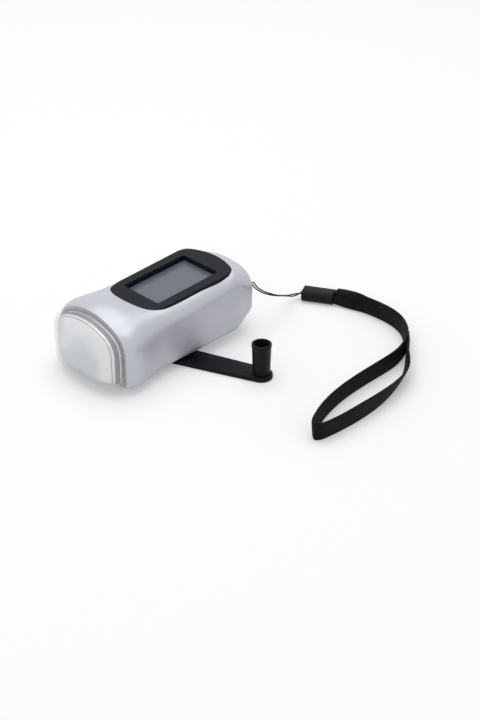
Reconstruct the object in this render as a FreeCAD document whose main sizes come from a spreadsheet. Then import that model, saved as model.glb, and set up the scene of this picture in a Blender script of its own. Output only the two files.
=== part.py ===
"""Hand crank flashlight with a solar panel, a fold-out winding crank and a wrist strap.

Millimetres, +Z up. The origin is where the crank's turning axis meets the surface that the lamp stands on.
+X points at the lens, +Y at the side that the crank is swung out to. At rest the crank is swung out, knob up.
"""
import FreeCAD, Part
import Sketcher

import math
import os

from FreeCAD import Placement, Rotation, Vector

doc = FreeCAD.newDocument("hand_crank_flashlight")

# Driving dimensions

SIZES = [
    ("wall", 1.8, "housing wall"),
    ("underside", 3.4, "height of the housing's flat underside"),
    ("parting", 13.4, "height of the joint between the housing halves"),
    ("front_face", 35.3, "where the housing ends and the lens begins"),
    ("tail_start", -50.3, "where the tail begins to close"),
    ("tail_length", 4.35, "length of the closing tail"),
    ("tail_axis_height", 18.4, "height of the middle of the tail"),
    ("lens_length", 11.8, "how far the lens bulges from the front face"),
    ("lens_middle", 7.0, "height where the lens bulges furthest"),
    ("lens_inset", 0.5, "step from the housing's outline in to the lens"),
    ("lens_wall", 1.6, "lens thickness"),
    ("skirt_length", 3.4, "lens skirt inside the housing"),
    ("bezel_thickness", 1.9, "rim of the panel's bezel"),
    ("bezel_skirt", 1.0, "how far the window's frame goes on below the rim"),
    ("bezel_half_width", 18.7, "bezel from the middle to a long side"),
    ("window_length", 38.9, "solar window along the lamp"),
    ("window_width", 25.3, "solar window across the lamp"),
    ("window_centre", -14.3, "solar window centre"),
    ("panel_slope", 4.57, "degrees that the panel rises to the tail"),
    ("panel_height", 35.15, "height of the panel's top at the window centre"),
    ("hub_radius", 13.0, "crank hub disc"),
    ("hub_top", 4.6, "top of the hub disc, inside its recess"),
    ("channel_depth", 3.2, "slot in the hub that the arm lies in"),
    ("shaft_radius", 3.0, "hub shaft"),
    ("shaft_top", 11.9, "top of the hub shaft"),
    ("fold_offset", 8.0, "hinge pin behind the hub axis"),
    ("fold_height", 1.5, "height of the hinge pin"),
    ("fold_pin_radius", 0.75, "hinge pin"),
    ("arm_reach", 59.7, "hub axis to knob axis"),
    ("arm_thickness", 2.3, "crank arm plate"),
    ("arm_root_width", 14.5, "crank arm at the hub"),
    ("arm_tip_width", 11.0, "crank arm at the knob"),
    ("crank_angle", 112.2, "degrees from +X that the arm rests at"),
    ("knob_gap", 0.3, "running gap under the knob"),
    ("knob_height", 16.1, "knob sleeve"),
    ("knob_lip_radius", 4.85, "rim of the knob"),
    ("knob_radius", 4.65, "knob under its rim"),
    ("knob_foot_radius", 4.25, "knob at its foot"),
    ("knob_bore_radius", 3.75, "open bore of the knob"),
    ("knob_floor", 2.6, "floor of the knob's bore"),
    ("rivet_radius", 1.6, "rivet that the knob spins on"),
    ("running_gap", 0.05, "radial gap of a running fit"),
    ("gear_module", 0.6, "tooth size of every gear"),
    ("gear_backlash", 0.14, "tooth thinning at the pitch circle"),
    ("first_level", 9.0, "bottom of the crank gear"),
    ("second_level", 12.0, "bottom of the first idler wheel"),
    ("third_level", 14.2, "bottom of the second idler wheel"),
    ("wheel_thickness", 1.6, "thickness of an idler wheel"),
    ("axle_radius", 1.0, "idler axles and rotor shaft"),
    ("plate_height", 16.4, "underside of the gear plate"),
    ("plate_thickness", 1.2, "gear plate"),
    ("rotor_radius", 7.0, "rotor magnet"),
    ("rotor_bottom", 18.9, "underside of the rotor magnet"),
    ("rotor_height", 5.2, "rotor magnet"),
    ("stator_radius", 10.5, "outside of the stator can"),
    ("cell_radius", 7.75, "button cell"),
    ("cell_thickness", 6.0, "button cell"),
    ("cell_axis_x", 3.0, "battery axis along the lamp"),
    ("cell_axis_height", 21.1, "battery axis"),
    ("board_thickness", 1.2, "circuit boards"),
    ("main_board_height", 26.2, "underside of the main board"),
    ("led_radius", 2.5, "lamp diode"),
    ("led_pitch", 14.2, "spacing of the lamp diodes"),
    ("led_height", 18.9, "height of the lamp diodes"),
    ("led_board_front", 19.8, "front of the lamp board"),
    ("reflector_back", 21.5, "back of the reflector"),
    ("button_x", -14.0, "switch button along the lamp"),
    ("button_height", 22.0, "height of the switch button"),
    ("button_length", 11.6, "switch button along the lamp"),
    ("button_width", 5.6, "switch button across"),
    ("screw_radius", 1.0, "thread of the housing screws"),
    ("screw_head_radius", 2.0, "head of the housing screws"),
    ("screw_seat", 7.0, "height of the housing screws' seat"),
    ("lanyard_y", 14.3, "lanyard bar across the lamp"),
    ("lanyard_x", -52.9, "lanyard bar along the lamp"),
    ("lanyard_height", 23.9, "height where the string goes round the bar"),
    ("bar_radius", 0.45, "lanyard bar"),
    ("string_diameter", 0.7, "strap string"),
    ("webbing_width", 9.5, "strap webbing, which stands on its edge"),
    ("webbing_thickness", 1.2, "one layer of the webbing"),
    ("ferrule_height", 6.3, "strap ferrule"),
    ("ferrule_width", 9.7, "strap ferrule"),
    ("ferrule_round", 2.7, "long edges of the ferrule"),
]

sheet = doc.addObject("Spreadsheet::Sheet", "Sizes")
for row, (alias, value, note) in enumerate(SIZES, start=1):
    sheet.set(f"A{row}", alias)
    sheet.set(f"B{row}", str(value))
    sheet.set(f"C{row}", note)
    sheet.setAlias(f"B{row}", alias)
doc.recompute()

# The housing's cross sections, front to back: place along X, half width, top, underside,
# crown radius, upper corner radius and lower corner radius.
STATIONS = [
    (35.3, 24.65, 35.7, 3.4, 40.0, 11.5, 3.0),
    (27.7, 27.05, 37.5, 3.4, 42.0, 12.0, 3.5),
    (18.7, 24.6, 35.9, 3.4, 60.0, 11.0, 4.0),
    (9.7, 23.45, 33.8, 3.4, 250.0, 8.5, 4.5),
    (0.7, 23.2, 33.6, 3.4, 400.0, 8.0, 5.0),
    (-9.3, 23.15, 34.4, 3.4, 400.0, 8.0, 5.5),
    (-20.3, 23.0, 35.25, 3.4, 400.0, 7.5, 6.0),
    (-32.3, 22.5, 36.3, 3.4, 400.0, 7.2, 6.5),
    (-42.3, 21.7, 36.9, 4.7, 200.0, 7.8, 7.0),
    (-50.3, 19.25, 34.75, 7.2, 50.0, 10.5, 7.5),
]
TAIL_STEPS = (0.34, 0.62, 0.82, 0.94, 0.985)
TAIL_PLAN_POWER = 2.25
TAIL_SIDE_POWER = 2.1
LENS_STEPS = (0.0, 0.2, 0.42, 0.63, 0.8, 0.91, 0.97, 0.993)
LENS_PLAN_POWER = 2.3
LENS_TOP_POWER = 2.9
LENS_FOOT_POWER = 1.7
KNOB_PATH_RADIUS = 54.5
KNOB_PATH_HEIGHT = 19.1
KNOB_PATH_FLARE = 12.0
KNOB_PATH_OUTSIDE = 70.0

# Places in plan
IDLER_A_ANGLE = 180.0
IDLER_B_ANGLE = 160.0
ROTOR_ANGLE = -125.0
CRANK_TEETH = 40
WHEEL_TEETH = 36
PINION_TEETH = 10
PRESSURE_ANGLE = math.radians(25.0)
ADDENDUM = 0.8
DEDENDUM = 1.05

HOUSING_SCREWS = ((14.5, 17.5), (14.5, -17.5), (-49.5, 7.0), (-49.0, -11.0))
PLATE_SCREWS = ((-9.0, 16.5), (-9.0, -16.5), (-44.0, 14.5))
BOARD_SCREWS = ((-12.0, 15.3), (-12.0, -15.3))

# The string goes up from the ferrule, round the lanyard bar and back down, as two strands side by side.
# These points are the line between the strands, from the tail to the ferrule.
STRING_ROUTE = [
    (-55.8, 14.5, 23.6),
    (-56.1, 15.9, 21.5),
    (-56.9, 18.6, 20.2),
    (-57.4, 21.6, 19.9),
    (-58.4, 24.6, 19.8),
    (-61.0, 26.0, 18.8),
    (-66.0, 23.6, 15.9),
    (-72.6, 19.2, 11.7),
    (-79.3, 15.0, 7.5),
    (-85.0, 12.4, 4.2),
    (-90.2, 12.0, 3.15),
]
STRAND_SPACING = (1.0, 0.8, 0.75, 0.75, 0.75, 0.8, 0.9, 1.0, 1.1, 1.1, 0.9)
STRING_FERRULE_END = (-94.0, 13.5, 3.15)
FERRULE_FAR_END = (-102.3, 27.8, 3.15)

# Webbing, in plan: the sewn double part, then the open loop out along the inner strand and back.
SEWN_ROUTE = [
    (-102.3, 27.8),
    (-103.4, 35.8),
    (-105.6, 44.6),
    (-106.6, 54.2),
    (-106.4, 64.0),
    (-103.6, 73.6),
    (-97.4, 81.8),
    (-90.4, 88.4),
]
LOOP_ROUTE = [
    (-89.8, 88.1),
    (-82.4, 91.6),
    (-72.6, 93.4),
    (-61.0, 93.9),
    (-48.6, 94.6),
    (-36.4, 96.0),
    (-25.0, 98.6),
    (-15.0, 102.2),
    (-7.0, 106.2),
    (-3.4, 108.4),
    (-2.4, 110.4),
    (-4.6, 112.0),
    (-9.0, 112.6),
    (-18.0, 113.2),
    (-30.0, 113.1),
    (-43.0, 111.8),
    (-55.4, 108.8),
    (-66.8, 104.4),
    (-77.0, 98.8),
    (-85.6, 92.4),
    (-90.6, 89.0),
]

nodes = {}


def size(alias):
    """Value of a cell."""
    return float(sheet.get(alias))


def node(name, obj):
    """Keeps an object as a piece of the lamp under its own name."""
    obj.Label = name
    nodes[name] = obj
    return obj


def bind(obj, **cells):
    """Binds sizes of an object to expressions on the sheet."""
    for prop, expression in cells.items():
        obj.setExpression(prop.replace("__", "."), expression)
    return obj


def place(obj, x="0", y="0", z="0", turn=None):
    """Puts an object at a place given by expressions, turned by a rotation."""
    obj.Placement = Placement(Vector(), turn or Rotation())
    for axis, expression in zip("xyz", (x, y, z)):
        obj.setExpression(f"Placement.Base.{axis}", str(expression))
    return obj


ALONG_X = Rotation(Vector(0, 1, 0), 90)
ALONG_Y = Rotation(Vector(1, 0, 0), -90)


def cylinder(name, radius, height, x="0", y="0", z="0", turn=None):
    """A bound cylinder along Z, or along the axis that the turn gives."""
    obj = doc.addObject("Part::Cylinder", name)
    bind(obj, Radius=str(radius), Height=str(height))
    return place(obj, x, y, z, turn)


def box(name, length, width, height, x="0", y="0", z="0"):
    """A bound box, centred on x and y and standing on z."""
    obj = doc.addObject("Part::Box", name)
    bind(obj, Length=str(length), Width=str(width), Height=str(height))
    return place(obj, f"{x} - ({length}) / 2", f"{y} - ({width}) / 2", z)


def cut(name, base, *tools):
    """The base less each tool."""
    if len(tools) == 1:
        tool = tools[0]
    else:
        tool = fuse(name + "_tools", *tools)
    obj = doc.addObject("Part::Cut", name)
    obj.Base = base
    obj.Tool = tool
    return obj


def fuse(name, *pieces):
    """All pieces as one."""
    obj = doc.addObject("Part::MultiFuse", name)
    obj.Shapes = list(pieces)
    return obj


def common(name, *pieces):
    """What the pieces share."""
    obj = doc.addObject("Part::MultiCommon", name)
    obj.Shapes = list(pieces)
    return obj


def group(name, *pieces):
    """Separate solids kept together."""
    obj = doc.addObject("Part::Compound", name)
    obj.Links = list(pieces)
    return obj


def feature(name, shape, at=None):
    """A piece whose shape is worked out from the sheet."""
    obj = doc.addObject("Part::Feature", name)
    obj.Shape = shape
    if at is not None:
        obj.Placement = at
    return obj


# PartDesign helpers


def new_body(name, turn=None):
    """An empty body, turned about Z if a number of degrees is given."""
    body = doc.addObject("PartDesign::Body", name)
    if turn is not None:
        body.setExpression("Placement.Rotation.Angle", turn)
    return body


def plane_of(body, role):
    """One of the body's own origin planes."""
    return next(item for item in body.Origin.OriginFeatures if item.Role == role)


def new_sketch(body, name, role="XY_Plane", lift=None):
    """A sketch on an origin plane of its body, lifted off it by an expression."""
    sketch = body.newObject("Sketcher::SketchObject", name)
    sketch.AttachmentSupport = [(plane_of(body, role), "")]
    sketch.MapMode = "FlatFace"
    if lift is not None:
        sketch.setExpression("AttachmentOffset.Base.z", lift)
    return sketch


def add_circle(sketch, radius, x=0.0, y=0.0):
    """A circle whose radius is bound to the sheet."""
    index = sketch.addGeometry(Part.Circle(Vector(x, y, 0), Vector(0, 0, 1), 1.0), False)
    constraint = sketch.addConstraint(Sketcher.Constraint("Radius", index, 1.0))
    sketch.setExpression(f"Constraints[{constraint}]", radius)
    return index


def add_outline(sketch, edges):
    """A closed run of lines and arcs."""
    for edge in edges:
        sketch.addGeometry(edge, False)


def polygon(points):
    """Line segments through the points and back to the first."""
    ends = points[1:] + points[:1]
    return [Part.LineSegment(Vector(*a, 0), Vector(*b, 0)) for a, b in zip(points, ends)]


def pad(body, sketch, length, name):
    """Pads a sketch by an expression."""
    obj = body.newObject("PartDesign::Pad", name)
    obj.Profile = sketch
    obj.setExpression("Length", length)
    return obj


def pocket(body, sketch, length, name, reverse=True):
    """Cuts a sketch into the body by an expression; reversed cuts towards +Z of the sketch."""
    obj = body.newObject("PartDesign::Pocket", name)
    obj.Profile = sketch
    obj.Reversed = reverse
    obj.setExpression("Length", length)
    return obj


def revolve(body, points, name):
    """Turns a closed outline, given as radius and height, about the body's Z axis."""
    sketch = new_sketch(body, name + "_profile", "XZ_Plane")
    add_outline(sketch, polygon(points))
    obj = body.newObject("PartDesign::Revolution", name)
    obj.Profile = sketch
    obj.ReferenceAxis = (next(i for i in body.Origin.OriginFeatures if i.Role == "Z_Axis"), [""])
    obj.Angle = 360.0
    return obj


# Housing


def section_wire(x, half, top, bottom, crown, upper, lower):
    """Cross section of the housing: a crowned top, round corners, upright sides and a flat underside."""
    crown = max(crown, half * 1.02, upper + 0.2)
    crown_centre = top - crown
    corner_z = crown_centre + math.sqrt(max((crown - upper) ** 2 - (half - upper) ** 2, 0.01))
    lean = math.atan2(half - upper, corner_z - crown_centre)
    slant = math.radians(45.0)

    def at(y, z):
        return Vector(x, y, z)

    def side(sign):
        shoulder = at(sign * crown * math.sin(lean), crown_centre + crown * math.cos(lean))
        middle = (lean + math.pi / 2) / 2
        corner = at(sign * (half - upper + upper * math.sin(middle)), corner_z + upper * math.cos(middle))
        waist = at(sign * half, corner_z)
        hem = at(sign * half, bottom + lower)
        turn = at(sign * (half - lower + lower * math.cos(slant)), bottom + lower - lower * math.sin(slant))
        foot = at(sign * (half - lower), bottom)
        return shoulder, corner, waist, hem, turn, foot

    right = side(1)
    left = side(-1)
    edges = [
        Part.Arc(left[0], at(0, top), right[0]),
        Part.Arc(right[0], right[1], right[2]),
        Part.LineSegment(right[2], right[3]),
        Part.Arc(right[3], right[4], right[5]),
        Part.LineSegment(right[5], left[5]),
        Part.Arc(left[5], left[4], left[3]),
        Part.LineSegment(left[3], left[2]),
        Part.Arc(left[2], left[1], left[0]),
    ]
    return Part.Wire([edge.toShape() for edge in edges])


def ease(step, power):
    """How much of its size a closing end keeps at a step from 0 to 1 along it."""
    return (1.0 - step ** power) ** (1.0 / power)


def fit_corners(half, height, upper, lower):
    """Corner radii that still leave an upright side."""
    return min(upper, 0.9 * half, 0.55 * height), min(lower, 0.6 * half, 0.3 * height)


def inset_station(station, inset):
    """A station drawn in by the same amount all round."""
    x, half, top, bottom, crown, upper, lower = station
    return (x, half - inset, top - inset, bottom + inset, crown - inset,
            upper - inset, max(lower - inset, 0.6))


def tail_sections(inset):
    """Sections of the rounded tail."""
    last = inset_station(STATIONS[-1], inset)
    length = size("tail_length") - inset
    middle = size("tail_axis_height")
    for step in TAIL_STEPS:
        half = last[1] * ease(step, TAIL_PLAN_POWER)
        keep = ease(step, TAIL_SIDE_POWER)
        top = middle + (last[2] - middle) * keep
        bottom = middle - (middle - last[3]) * keep
        upper, lower = fit_corners(half, top - bottom, last[5], last[6])
        yield section_wire(last[0] - step * length, half, top, bottom, last[4] * keep, upper, lower)


def housing_loft(inset, front):
    """The housing's outside, or its inside when drawn in, as one solid that ends at the front given."""
    first = (front,) + inset_station(STATIONS[0], inset)[1:]
    wires = [section_wire(*first)]
    wires += [section_wire(*inset_station(station, inset)) for station in STATIONS[1:]]
    wires += list(tail_sections(inset))
    return Part.makeLoft(wires, True, False)


front = size("front_face")
housing_body = feature("housing_body", housing_loft(0.0, front))
inside = feature("housing_inside", housing_loft(size("wall"), front + 1.0))



def knob_path_solid():
    """Room for the knob as it goes round the tail: upright beside the knob, flaring outward above it."""
    slant = math.radians(45.0)
    flare_x = KNOB_PATH_RADIUS + KNOB_PATH_FLARE
    flare_z = KNOB_PATH_HEIGHT + KNOB_PATH_FLARE
    foot = Vector(KNOB_PATH_RADIUS, 0, 0)
    shoulder = Vector(KNOB_PATH_RADIUS, 0, KNOB_PATH_HEIGHT)
    middle = Vector(flare_x - KNOB_PATH_FLARE * math.cos(slant), 0,
                    KNOB_PATH_HEIGHT + KNOB_PATH_FLARE * math.sin(slant))
    brim = Vector(flare_x, 0, flare_z)
    far_top = Vector(KNOB_PATH_OUTSIDE, 0, flare_z)
    far_foot = Vector(KNOB_PATH_OUTSIDE, 0, 0)
    edges = [
        Part.LineSegment(foot, shoulder),
        Part.Arc(shoulder, middle, brim),
        Part.LineSegment(brim, far_top),
        Part.LineSegment(far_top, far_foot),
        Part.LineSegment(far_foot, foot),
    ]
    wire = Part.Wire([edge.toShape() for edge in edges])
    return Part.Face(wire).revolve(Vector(), Vector(0, 0, 1), 360)


# The knob's path round the tail takes a shallow, soft scoop out of it
outside = cut("housing_outside", housing_body, feature("knob_path", knob_path_solid()))

# Solar panel. Everything here is built flat, with the panel's top at zero height and the window's centre at
# the origin, and then tilted into place together.
panel_place = Placement(Vector(size("window_centre"), 0, size("panel_height")),
                        Rotation(Vector(0, 1, 0), size("panel_slope")))
BEZEL_FRONT = ((18.0, 0.965), (25.6, 0.81), (28.7, 0.56), (31.0, 0.0))
BEZEL_REAR = ((-21.0, 1.0), (-26.1, 0.82), (-28.5, 0.55), (-30.2, 0.0))
BEZEL_EDGE = 0.8
WINDOW_CORNER = 1.2


def bezel_outline(grow):
    """Face on the bezel's outline, which bulges at the front and the rear; y is given in half widths."""
    half = size("bezel_half_width")

    def side(points, sign):
        return [Vector(x + math.copysign(grow, x), sign * (y * half + (grow if y else 0.0)), 0)
                for x, y in points]

    front_left, front_right = side(BEZEL_FRONT, 1), side(BEZEL_FRONT, -1)
    rear_left, rear_right = side(BEZEL_REAR, 1), side(BEZEL_REAR, -1)
    edges = [
        Part.LineSegment(rear_left[0], front_left[0]),
        Part.Arc(front_left[0], front_left[1], front_left[2]),
        Part.Arc(front_left[2], front_left[3], front_right[2]),
        Part.Arc(front_right[2], front_right[1], front_right[0]),
        Part.LineSegment(front_right[0], rear_right[0]),
        Part.Arc(rear_right[0], rear_right[1], rear_right[2]),
        Part.Arc(rear_right[2], rear_right[3], rear_left[2]),
        Part.Arc(rear_left[2], rear_left[1], rear_left[0]),
    ]
    return Part.Face(Part.Wire([edge.toShape() for edge in edges]))


def bezel_slab(name, grow, bottom, top, edge_radius=0.0):
    """Slab on the bezel's outline between two heights over the panel's top."""
    slab = bezel_outline(grow).extrude(Vector(0, 0, top - bottom))
    if edge_radius:
        rim = [edge for edge in slab.Edges if edge.CenterOfMass.z > top - bottom - 0.01]
        slab = slab.makeFillet(edge_radius, rim)
    slab = slab.translated(Vector(0, 0, bottom))
    solid = Part.makeSolid(slab) if slab.ShapeType == "Shell" else slab
    return feature(name, solid.transformed(panel_place.toMatrix(), True))


def panel_box(name, grow, bottom, top, corner=0.0):
    """Box on the window's outline, grown all round, between two heights over the panel's top."""
    length = size("window_length") + 2 * grow
    width = size("window_width") + 2 * grow
    block = Part.makeBox(length, width, top - bottom, Vector(-length / 2, -width / 2, bottom))
    if corner:
        upright_edges = [edge for edge in block.Edges if abs(edge.tangentAt(edge.FirstParameter).z) > 0.9]
        block = block.makeFillet(corner, upright_edges)
    return feature(name, block, panel_place)


rim_bottom = -size("bezel_thickness")
skirt_bottom = rim_bottom - size("bezel_skirt")
SKIRT_WALL = 1.3
SKIRT_GAP = 0.1
CELL_THICKNESS = 0.4
CELL_LAP = 0.6
SEAT_THICKNESS = 1.6
FAR_ABOVE = 8.0
POCKET_BOTTOM = -9.0
BEZEL_GAP = 0.08

bezel_rim = bezel_slab("bezel_rim", 0.0, rim_bottom, 0.0, BEZEL_EDGE)
bezel_skirt = panel_box("bezel_skirt", SKIRT_WALL, skirt_bottom, rim_bottom + 0.5)
window_hole = panel_box("window_hole", 0.0, skirt_bottom - 1.0, 1.0, WINDOW_CORNER)
solar_bezel = node("solar_bezel", cut("solar_bezel", fuse("bezel_solid", bezel_rim, bezel_skirt), window_hole))

cell_bottom = skirt_bottom - CELL_THICKNESS
solar_cell = node("solar_cell", panel_box("solar_cell", CELL_LAP, cell_bottom, skirt_bottom))
solar_board = node("solar_board", panel_box("solar_board", SKIRT_WALL, cell_bottom - size("board_thickness"),
                                            cell_bottom))
bezel_room = bezel_slab("bezel_room", BEZEL_GAP, rim_bottom, FAR_ABOVE)
panel_pocket = panel_box("panel_pocket", SKIRT_WALL + SKIRT_GAP, POCKET_BOTTOM, rim_bottom + 0.5)
bezel_seat = common("bezel_seat", bezel_slab("seat_slab", 0.5, rim_bottom - SEAT_THICKNESS, rim_bottom + 0.2),
                    outside)

shell = cut("housing_shell", outside, inside)
below_parting = box("below_parting", "160", "80", "Sizes.parting", "0", "0", "0")
above_parting = box("above_parting", "160", "80", "60", "0", "0", "Sizes.parting")

# Lower housing: hub recess, bearing boss, axle and screw posts
module = size("gear_module")
crank_pitch = module * CRANK_TEETH / 2
wheel_pitch = module * WHEEL_TEETH / 2
pinion_pitch = module * PINION_TEETH / 2


def polar(start, distance, degrees):
    """A point in plan at a distance and direction from another."""
    angle = math.radians(degrees)
    return (start[0] + distance * math.cos(angle), start[1] + distance * math.sin(angle))


idler_a_at = polar((0.0, 0.0), crank_pitch + pinion_pitch, IDLER_A_ANGLE)
idler_b_at = polar(idler_a_at, wheel_pitch + pinion_pitch, IDLER_B_ANGLE)
rotor_at = polar(idler_b_at, wheel_pitch + pinion_pitch, ROTOR_ANGLE)

BOSS_RADIUS = 2.4
SCREW_POST_RADIUS = 3.0
HUB_PAD_TOP = 6.6
HUB_RECESS_TOP = 4.9
HUB_RECESS_GAP = 0.35
BUSH_RADIUS = 4.5
BUSH_HEIGHT = 3.7
BUSH_BOSS_RADIUS = 6.0
BUSH_BOSS_TOP = 8.3
WHEEL_LIFT = 0.3
PIN_FOOT = 6.2
SHAFT_FOOT = 11.0
SHAFT_HOLE_FOOT = 10.8
PLATE_SCREW_RADIUS = 0.8
PLATE_SCREW_LENGTH = 5.0
FLOOR_LAP = "Sizes.underside + 0.4"
BELOW = 1.0
THROUGH = 40.0


def post(name, at, radius, top, foot=FLOOR_LAP):
    """Upright post from inside the floor to a height."""
    return cylinder(name, radius, f"{top} - ({foot})", str(at[0]), str(at[1]), foot)


lower_posts = [
    post("hub_pad", (0, 0), "Sizes.hub_radius + 2", HUB_PAD_TOP),
    post("bush_boss", (0, 0), BUSH_BOSS_RADIUS, BUSH_BOSS_TOP),
    post("idler_a_boss", idler_a_at, BOSS_RADIUS, f"Sizes.first_level - {WHEEL_LIFT}"),
    post("idler_b_boss", idler_b_at, BOSS_RADIUS, f"Sizes.second_level - {WHEEL_LIFT}"),
    post("rotor_boss", rotor_at, BOSS_RADIUS, f"Sizes.third_level - {WHEEL_LIFT}"),
]
lower_posts += [post("plate_post", at, BOSS_RADIUS, "Sizes.plate_height") for at in PLATE_SCREWS]
lower_posts += [post("screw_post", at, SCREW_POST_RADIUS, "Sizes.parting") for at in HOUSING_SCREWS]



def hole(name, at, radius, foot, top=THROUGH):
    """Upright round hole in plan between two heights."""
    return cylinder(name, radius, f"({top}) - ({foot})", str(at[0]), str(at[1]), foot)


lower_holes = [
    hole("hub_recess", (0, 0), f"Sizes.hub_radius + {HUB_RECESS_GAP}", BELOW, HUB_RECESS_TOP),
    hole("bush_seat", (0, 0), BUSH_RADIUS, BELOW),
    hole("idler_a_pin_hole", idler_a_at, "Sizes.axle_radius", PIN_FOOT),
    hole("idler_b_pin_hole", idler_b_at, "Sizes.axle_radius", PIN_FOOT),
    hole("rotor_shaft_hole", rotor_at, "Sizes.axle_radius + Sizes.running_gap", SHAFT_HOLE_FOOT),
]
for at in HOUSING_SCREWS:
    lower_holes.append(hole("screw_way", at, "Sizes.screw_radius + 0.15", BELOW))
    lower_holes.append(hole("screw_mouth", at, "Sizes.screw_head_radius + 0.2", BELOW, "Sizes.screw_seat"))
for at in PLATE_SCREWS:
    lower_holes.append(hole("plate_pilot", at, PLATE_SCREW_RADIUS, f"Sizes.plate_height - {PLATE_SCREW_LENGTH}"))

lower_shell = common("lower_shell", shell, below_parting)
plate_post_parts = common("lower_post_room", fuse("lower_post_group", *lower_posts), outside)
lower_solid = fuse("lower_solid", lower_shell, plate_post_parts)
lower_housing = node("lower_housing", cut("lower_housing", lower_solid, *lower_holes))

# Upper housing: bezel seat, screw bosses, board bosses, button hole and lanyard socket
LANYARD_BLOCK_LENGTH = 6.6
LANYARD_BLOCK_WIDTH = 8.2
LANYARD_BLOCK_HEIGHT = 9.0
LANYARD_MOUTH = 5.2
LANYARD_MOUTH_HEIGHT = 6.0
BAR_LENGTH = 8.0
upper_posts = [
    cylinder("upper_screw_post", "2.8", "30", str(x), str(y), "Sizes.parting") for x, y in HOUSING_SCREWS
]
upper_posts += [
    cylinder("board_post", "2.0", "12", str(x), str(y), "Sizes.main_board_height + Sizes.board_thickness")
    for x, y in BOARD_SCREWS
]
upper_posts.append(box("lanyard_block", LANYARD_BLOCK_LENGTH, LANYARD_BLOCK_WIDTH, LANYARD_BLOCK_HEIGHT,
                       "Sizes.lanyard_x + 1.6", "Sizes.lanyard_y",
                       f"Sizes.lanyard_height - {LANYARD_BLOCK_HEIGHT / 2}"))
upper_holes = [
    box("lanyard_mouth", 8, LANYARD_MOUTH, LANYARD_MOUTH_HEIGHT, "Sizes.lanyard_x - 1.7", "Sizes.lanyard_y",
        f"Sizes.lanyard_height - {LANYARD_MOUTH_HEIGHT / 2}"),
    cylinder("lanyard_bar_hole", "Sizes.bar_radius", BAR_LENGTH, "Sizes.lanyard_x", "Sizes.lanyard_y",
             f"Sizes.lanyard_height - {BAR_LENGTH / 2}"),
]
for x, y in HOUSING_SCREWS:
    upper_holes.append(cylinder("screw_pilot", "Sizes.screw_radius", "14", str(x), str(y), "Sizes.parting - 1"))
for x, y in BOARD_SCREWS:
    upper_holes.append(cylinder("board_pilot", "0.7", "5", str(x), str(y), "Sizes.main_board_height"))


def capsule(name, length, width, depth, y):
    """A slab with round ends that lies in the XZ plane and runs along Y from y."""
    half = (length - width) / 2
    centre = Vector(size("button_x"), y, size("button_height"))
    radius = width / 2
    top = [centre + Vector(sign * half, 0, radius) for sign in (-1, 1)]
    low = [centre + Vector(sign * half, 0, -radius) for sign in (-1, 1)]
    ends = [centre + Vector(sign * (half + radius), 0, 0) for sign in (-1, 1)]
    wire = Part.Wire([
        Part.LineSegment(top[0], top[1]).toShape(),
        Part.Arc(top[1], ends[1], low[1]).toShape(),
        Part.LineSegment(low[1], low[0]).toShape(),
        Part.Arc(low[0], ends[0], top[0]).toShape(),
    ])
    return feature(name, Part.Face(wire).extrude(Vector(0, depth, 0)))


button_length = size("button_length")
button_width = size("button_width")
BUTTON_FACE = -24.3
BUTTON_GAP = 0.15
BUTTON_LEDGE = 0.7
LEDGE_FACE = -21.0
LEDGE_THICKNESS = 1.0
button_hole = capsule("button_hole", button_length + 2 * BUTTON_GAP, button_width + 2 * BUTTON_GAP, 10.0, -28.0)
upper_holes.append(button_hole)

upper_shell = common("upper_shell", shell, above_parting)
upper_post_room = common("upper_post_room", fuse("upper_post_group", *upper_posts), outside)
upper_solid = fuse("upper_solid", upper_shell, upper_post_room, bezel_seat)
upper_open = cut("upper_open", upper_solid, bezel_room, panel_pocket)
upper_housing = node("upper_housing", cut("upper_housing", upper_open, *upper_holes))

lanyard_bar = node("lanyard_bar", cylinder("lanyard_bar", "Sizes.bar_radius", BAR_LENGTH, "Sizes.lanyard_x",
                                           "Sizes.lanyard_y", f"Sizes.lanyard_height - {BAR_LENGTH / 2}"))

# Switch
button_cap = capsule("button_cap", button_length, button_width, LEDGE_FACE - BUTTON_FACE, BUTTON_FACE)
button_ledge = capsule("button_ledge", button_length + 2 * BUTTON_LEDGE, button_width + 2 * BUTTON_LEDGE,
                       LEDGE_THICKNESS, LEDGE_FACE)
switch_button = node("switch_button", fuse("switch_button", button_cap, button_ledge))
SWITCH_FACE = -18.7
SWITCH_LENGTH = 6.0
SWITCH_WIDTH = 4.6
SWITCH_HEIGHT = 7.4
switch_body = node("switch_body", box("switch_body", SWITCH_LENGTH, SWITCH_WIDTH, SWITCH_HEIGHT,
                                      "Sizes.button_x", SWITCH_FACE + SWITCH_WIDTH / 2,
                                      "Sizes.plate_height + Sizes.plate_thickness"))

# Lens and reflector


def lens_loft(inset, start):
    """The lens bulge as one solid from a start plane; drawn in, it is the inside."""
    station = inset_station(STATIONS[0], size("lens_inset") + inset)
    length = size("lens_length") - inset
    middle = size("lens_middle")
    wires = []
    if start < front:
        wires.append(section_wire(start, *station[1:]))
    for step in LENS_STEPS:
        half = station[1] * ease(step, LENS_PLAN_POWER)
        top = middle + (station[2] - middle) * ease(step, LENS_TOP_POWER)
        bottom = middle - (middle - station[3]) * ease(step, LENS_FOOT_POWER)
        upper, lower = fit_corners(half, top - bottom, station[5], station[6])
        wires.append(section_wire(front + step * length, half, top, bottom, station[4], upper, lower))
    return Part.makeLoft(wires, True, False)


def front_plug(name, inset, start, end):
    """Straight block on the front section, drawn in, from one plane to another."""
    wire = section_wire(start, *inset_station(STATIONS[0], inset)[1:])
    return feature(name, Part.Face(wire).extrude(Vector(end - start, 0, 0)))


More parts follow.
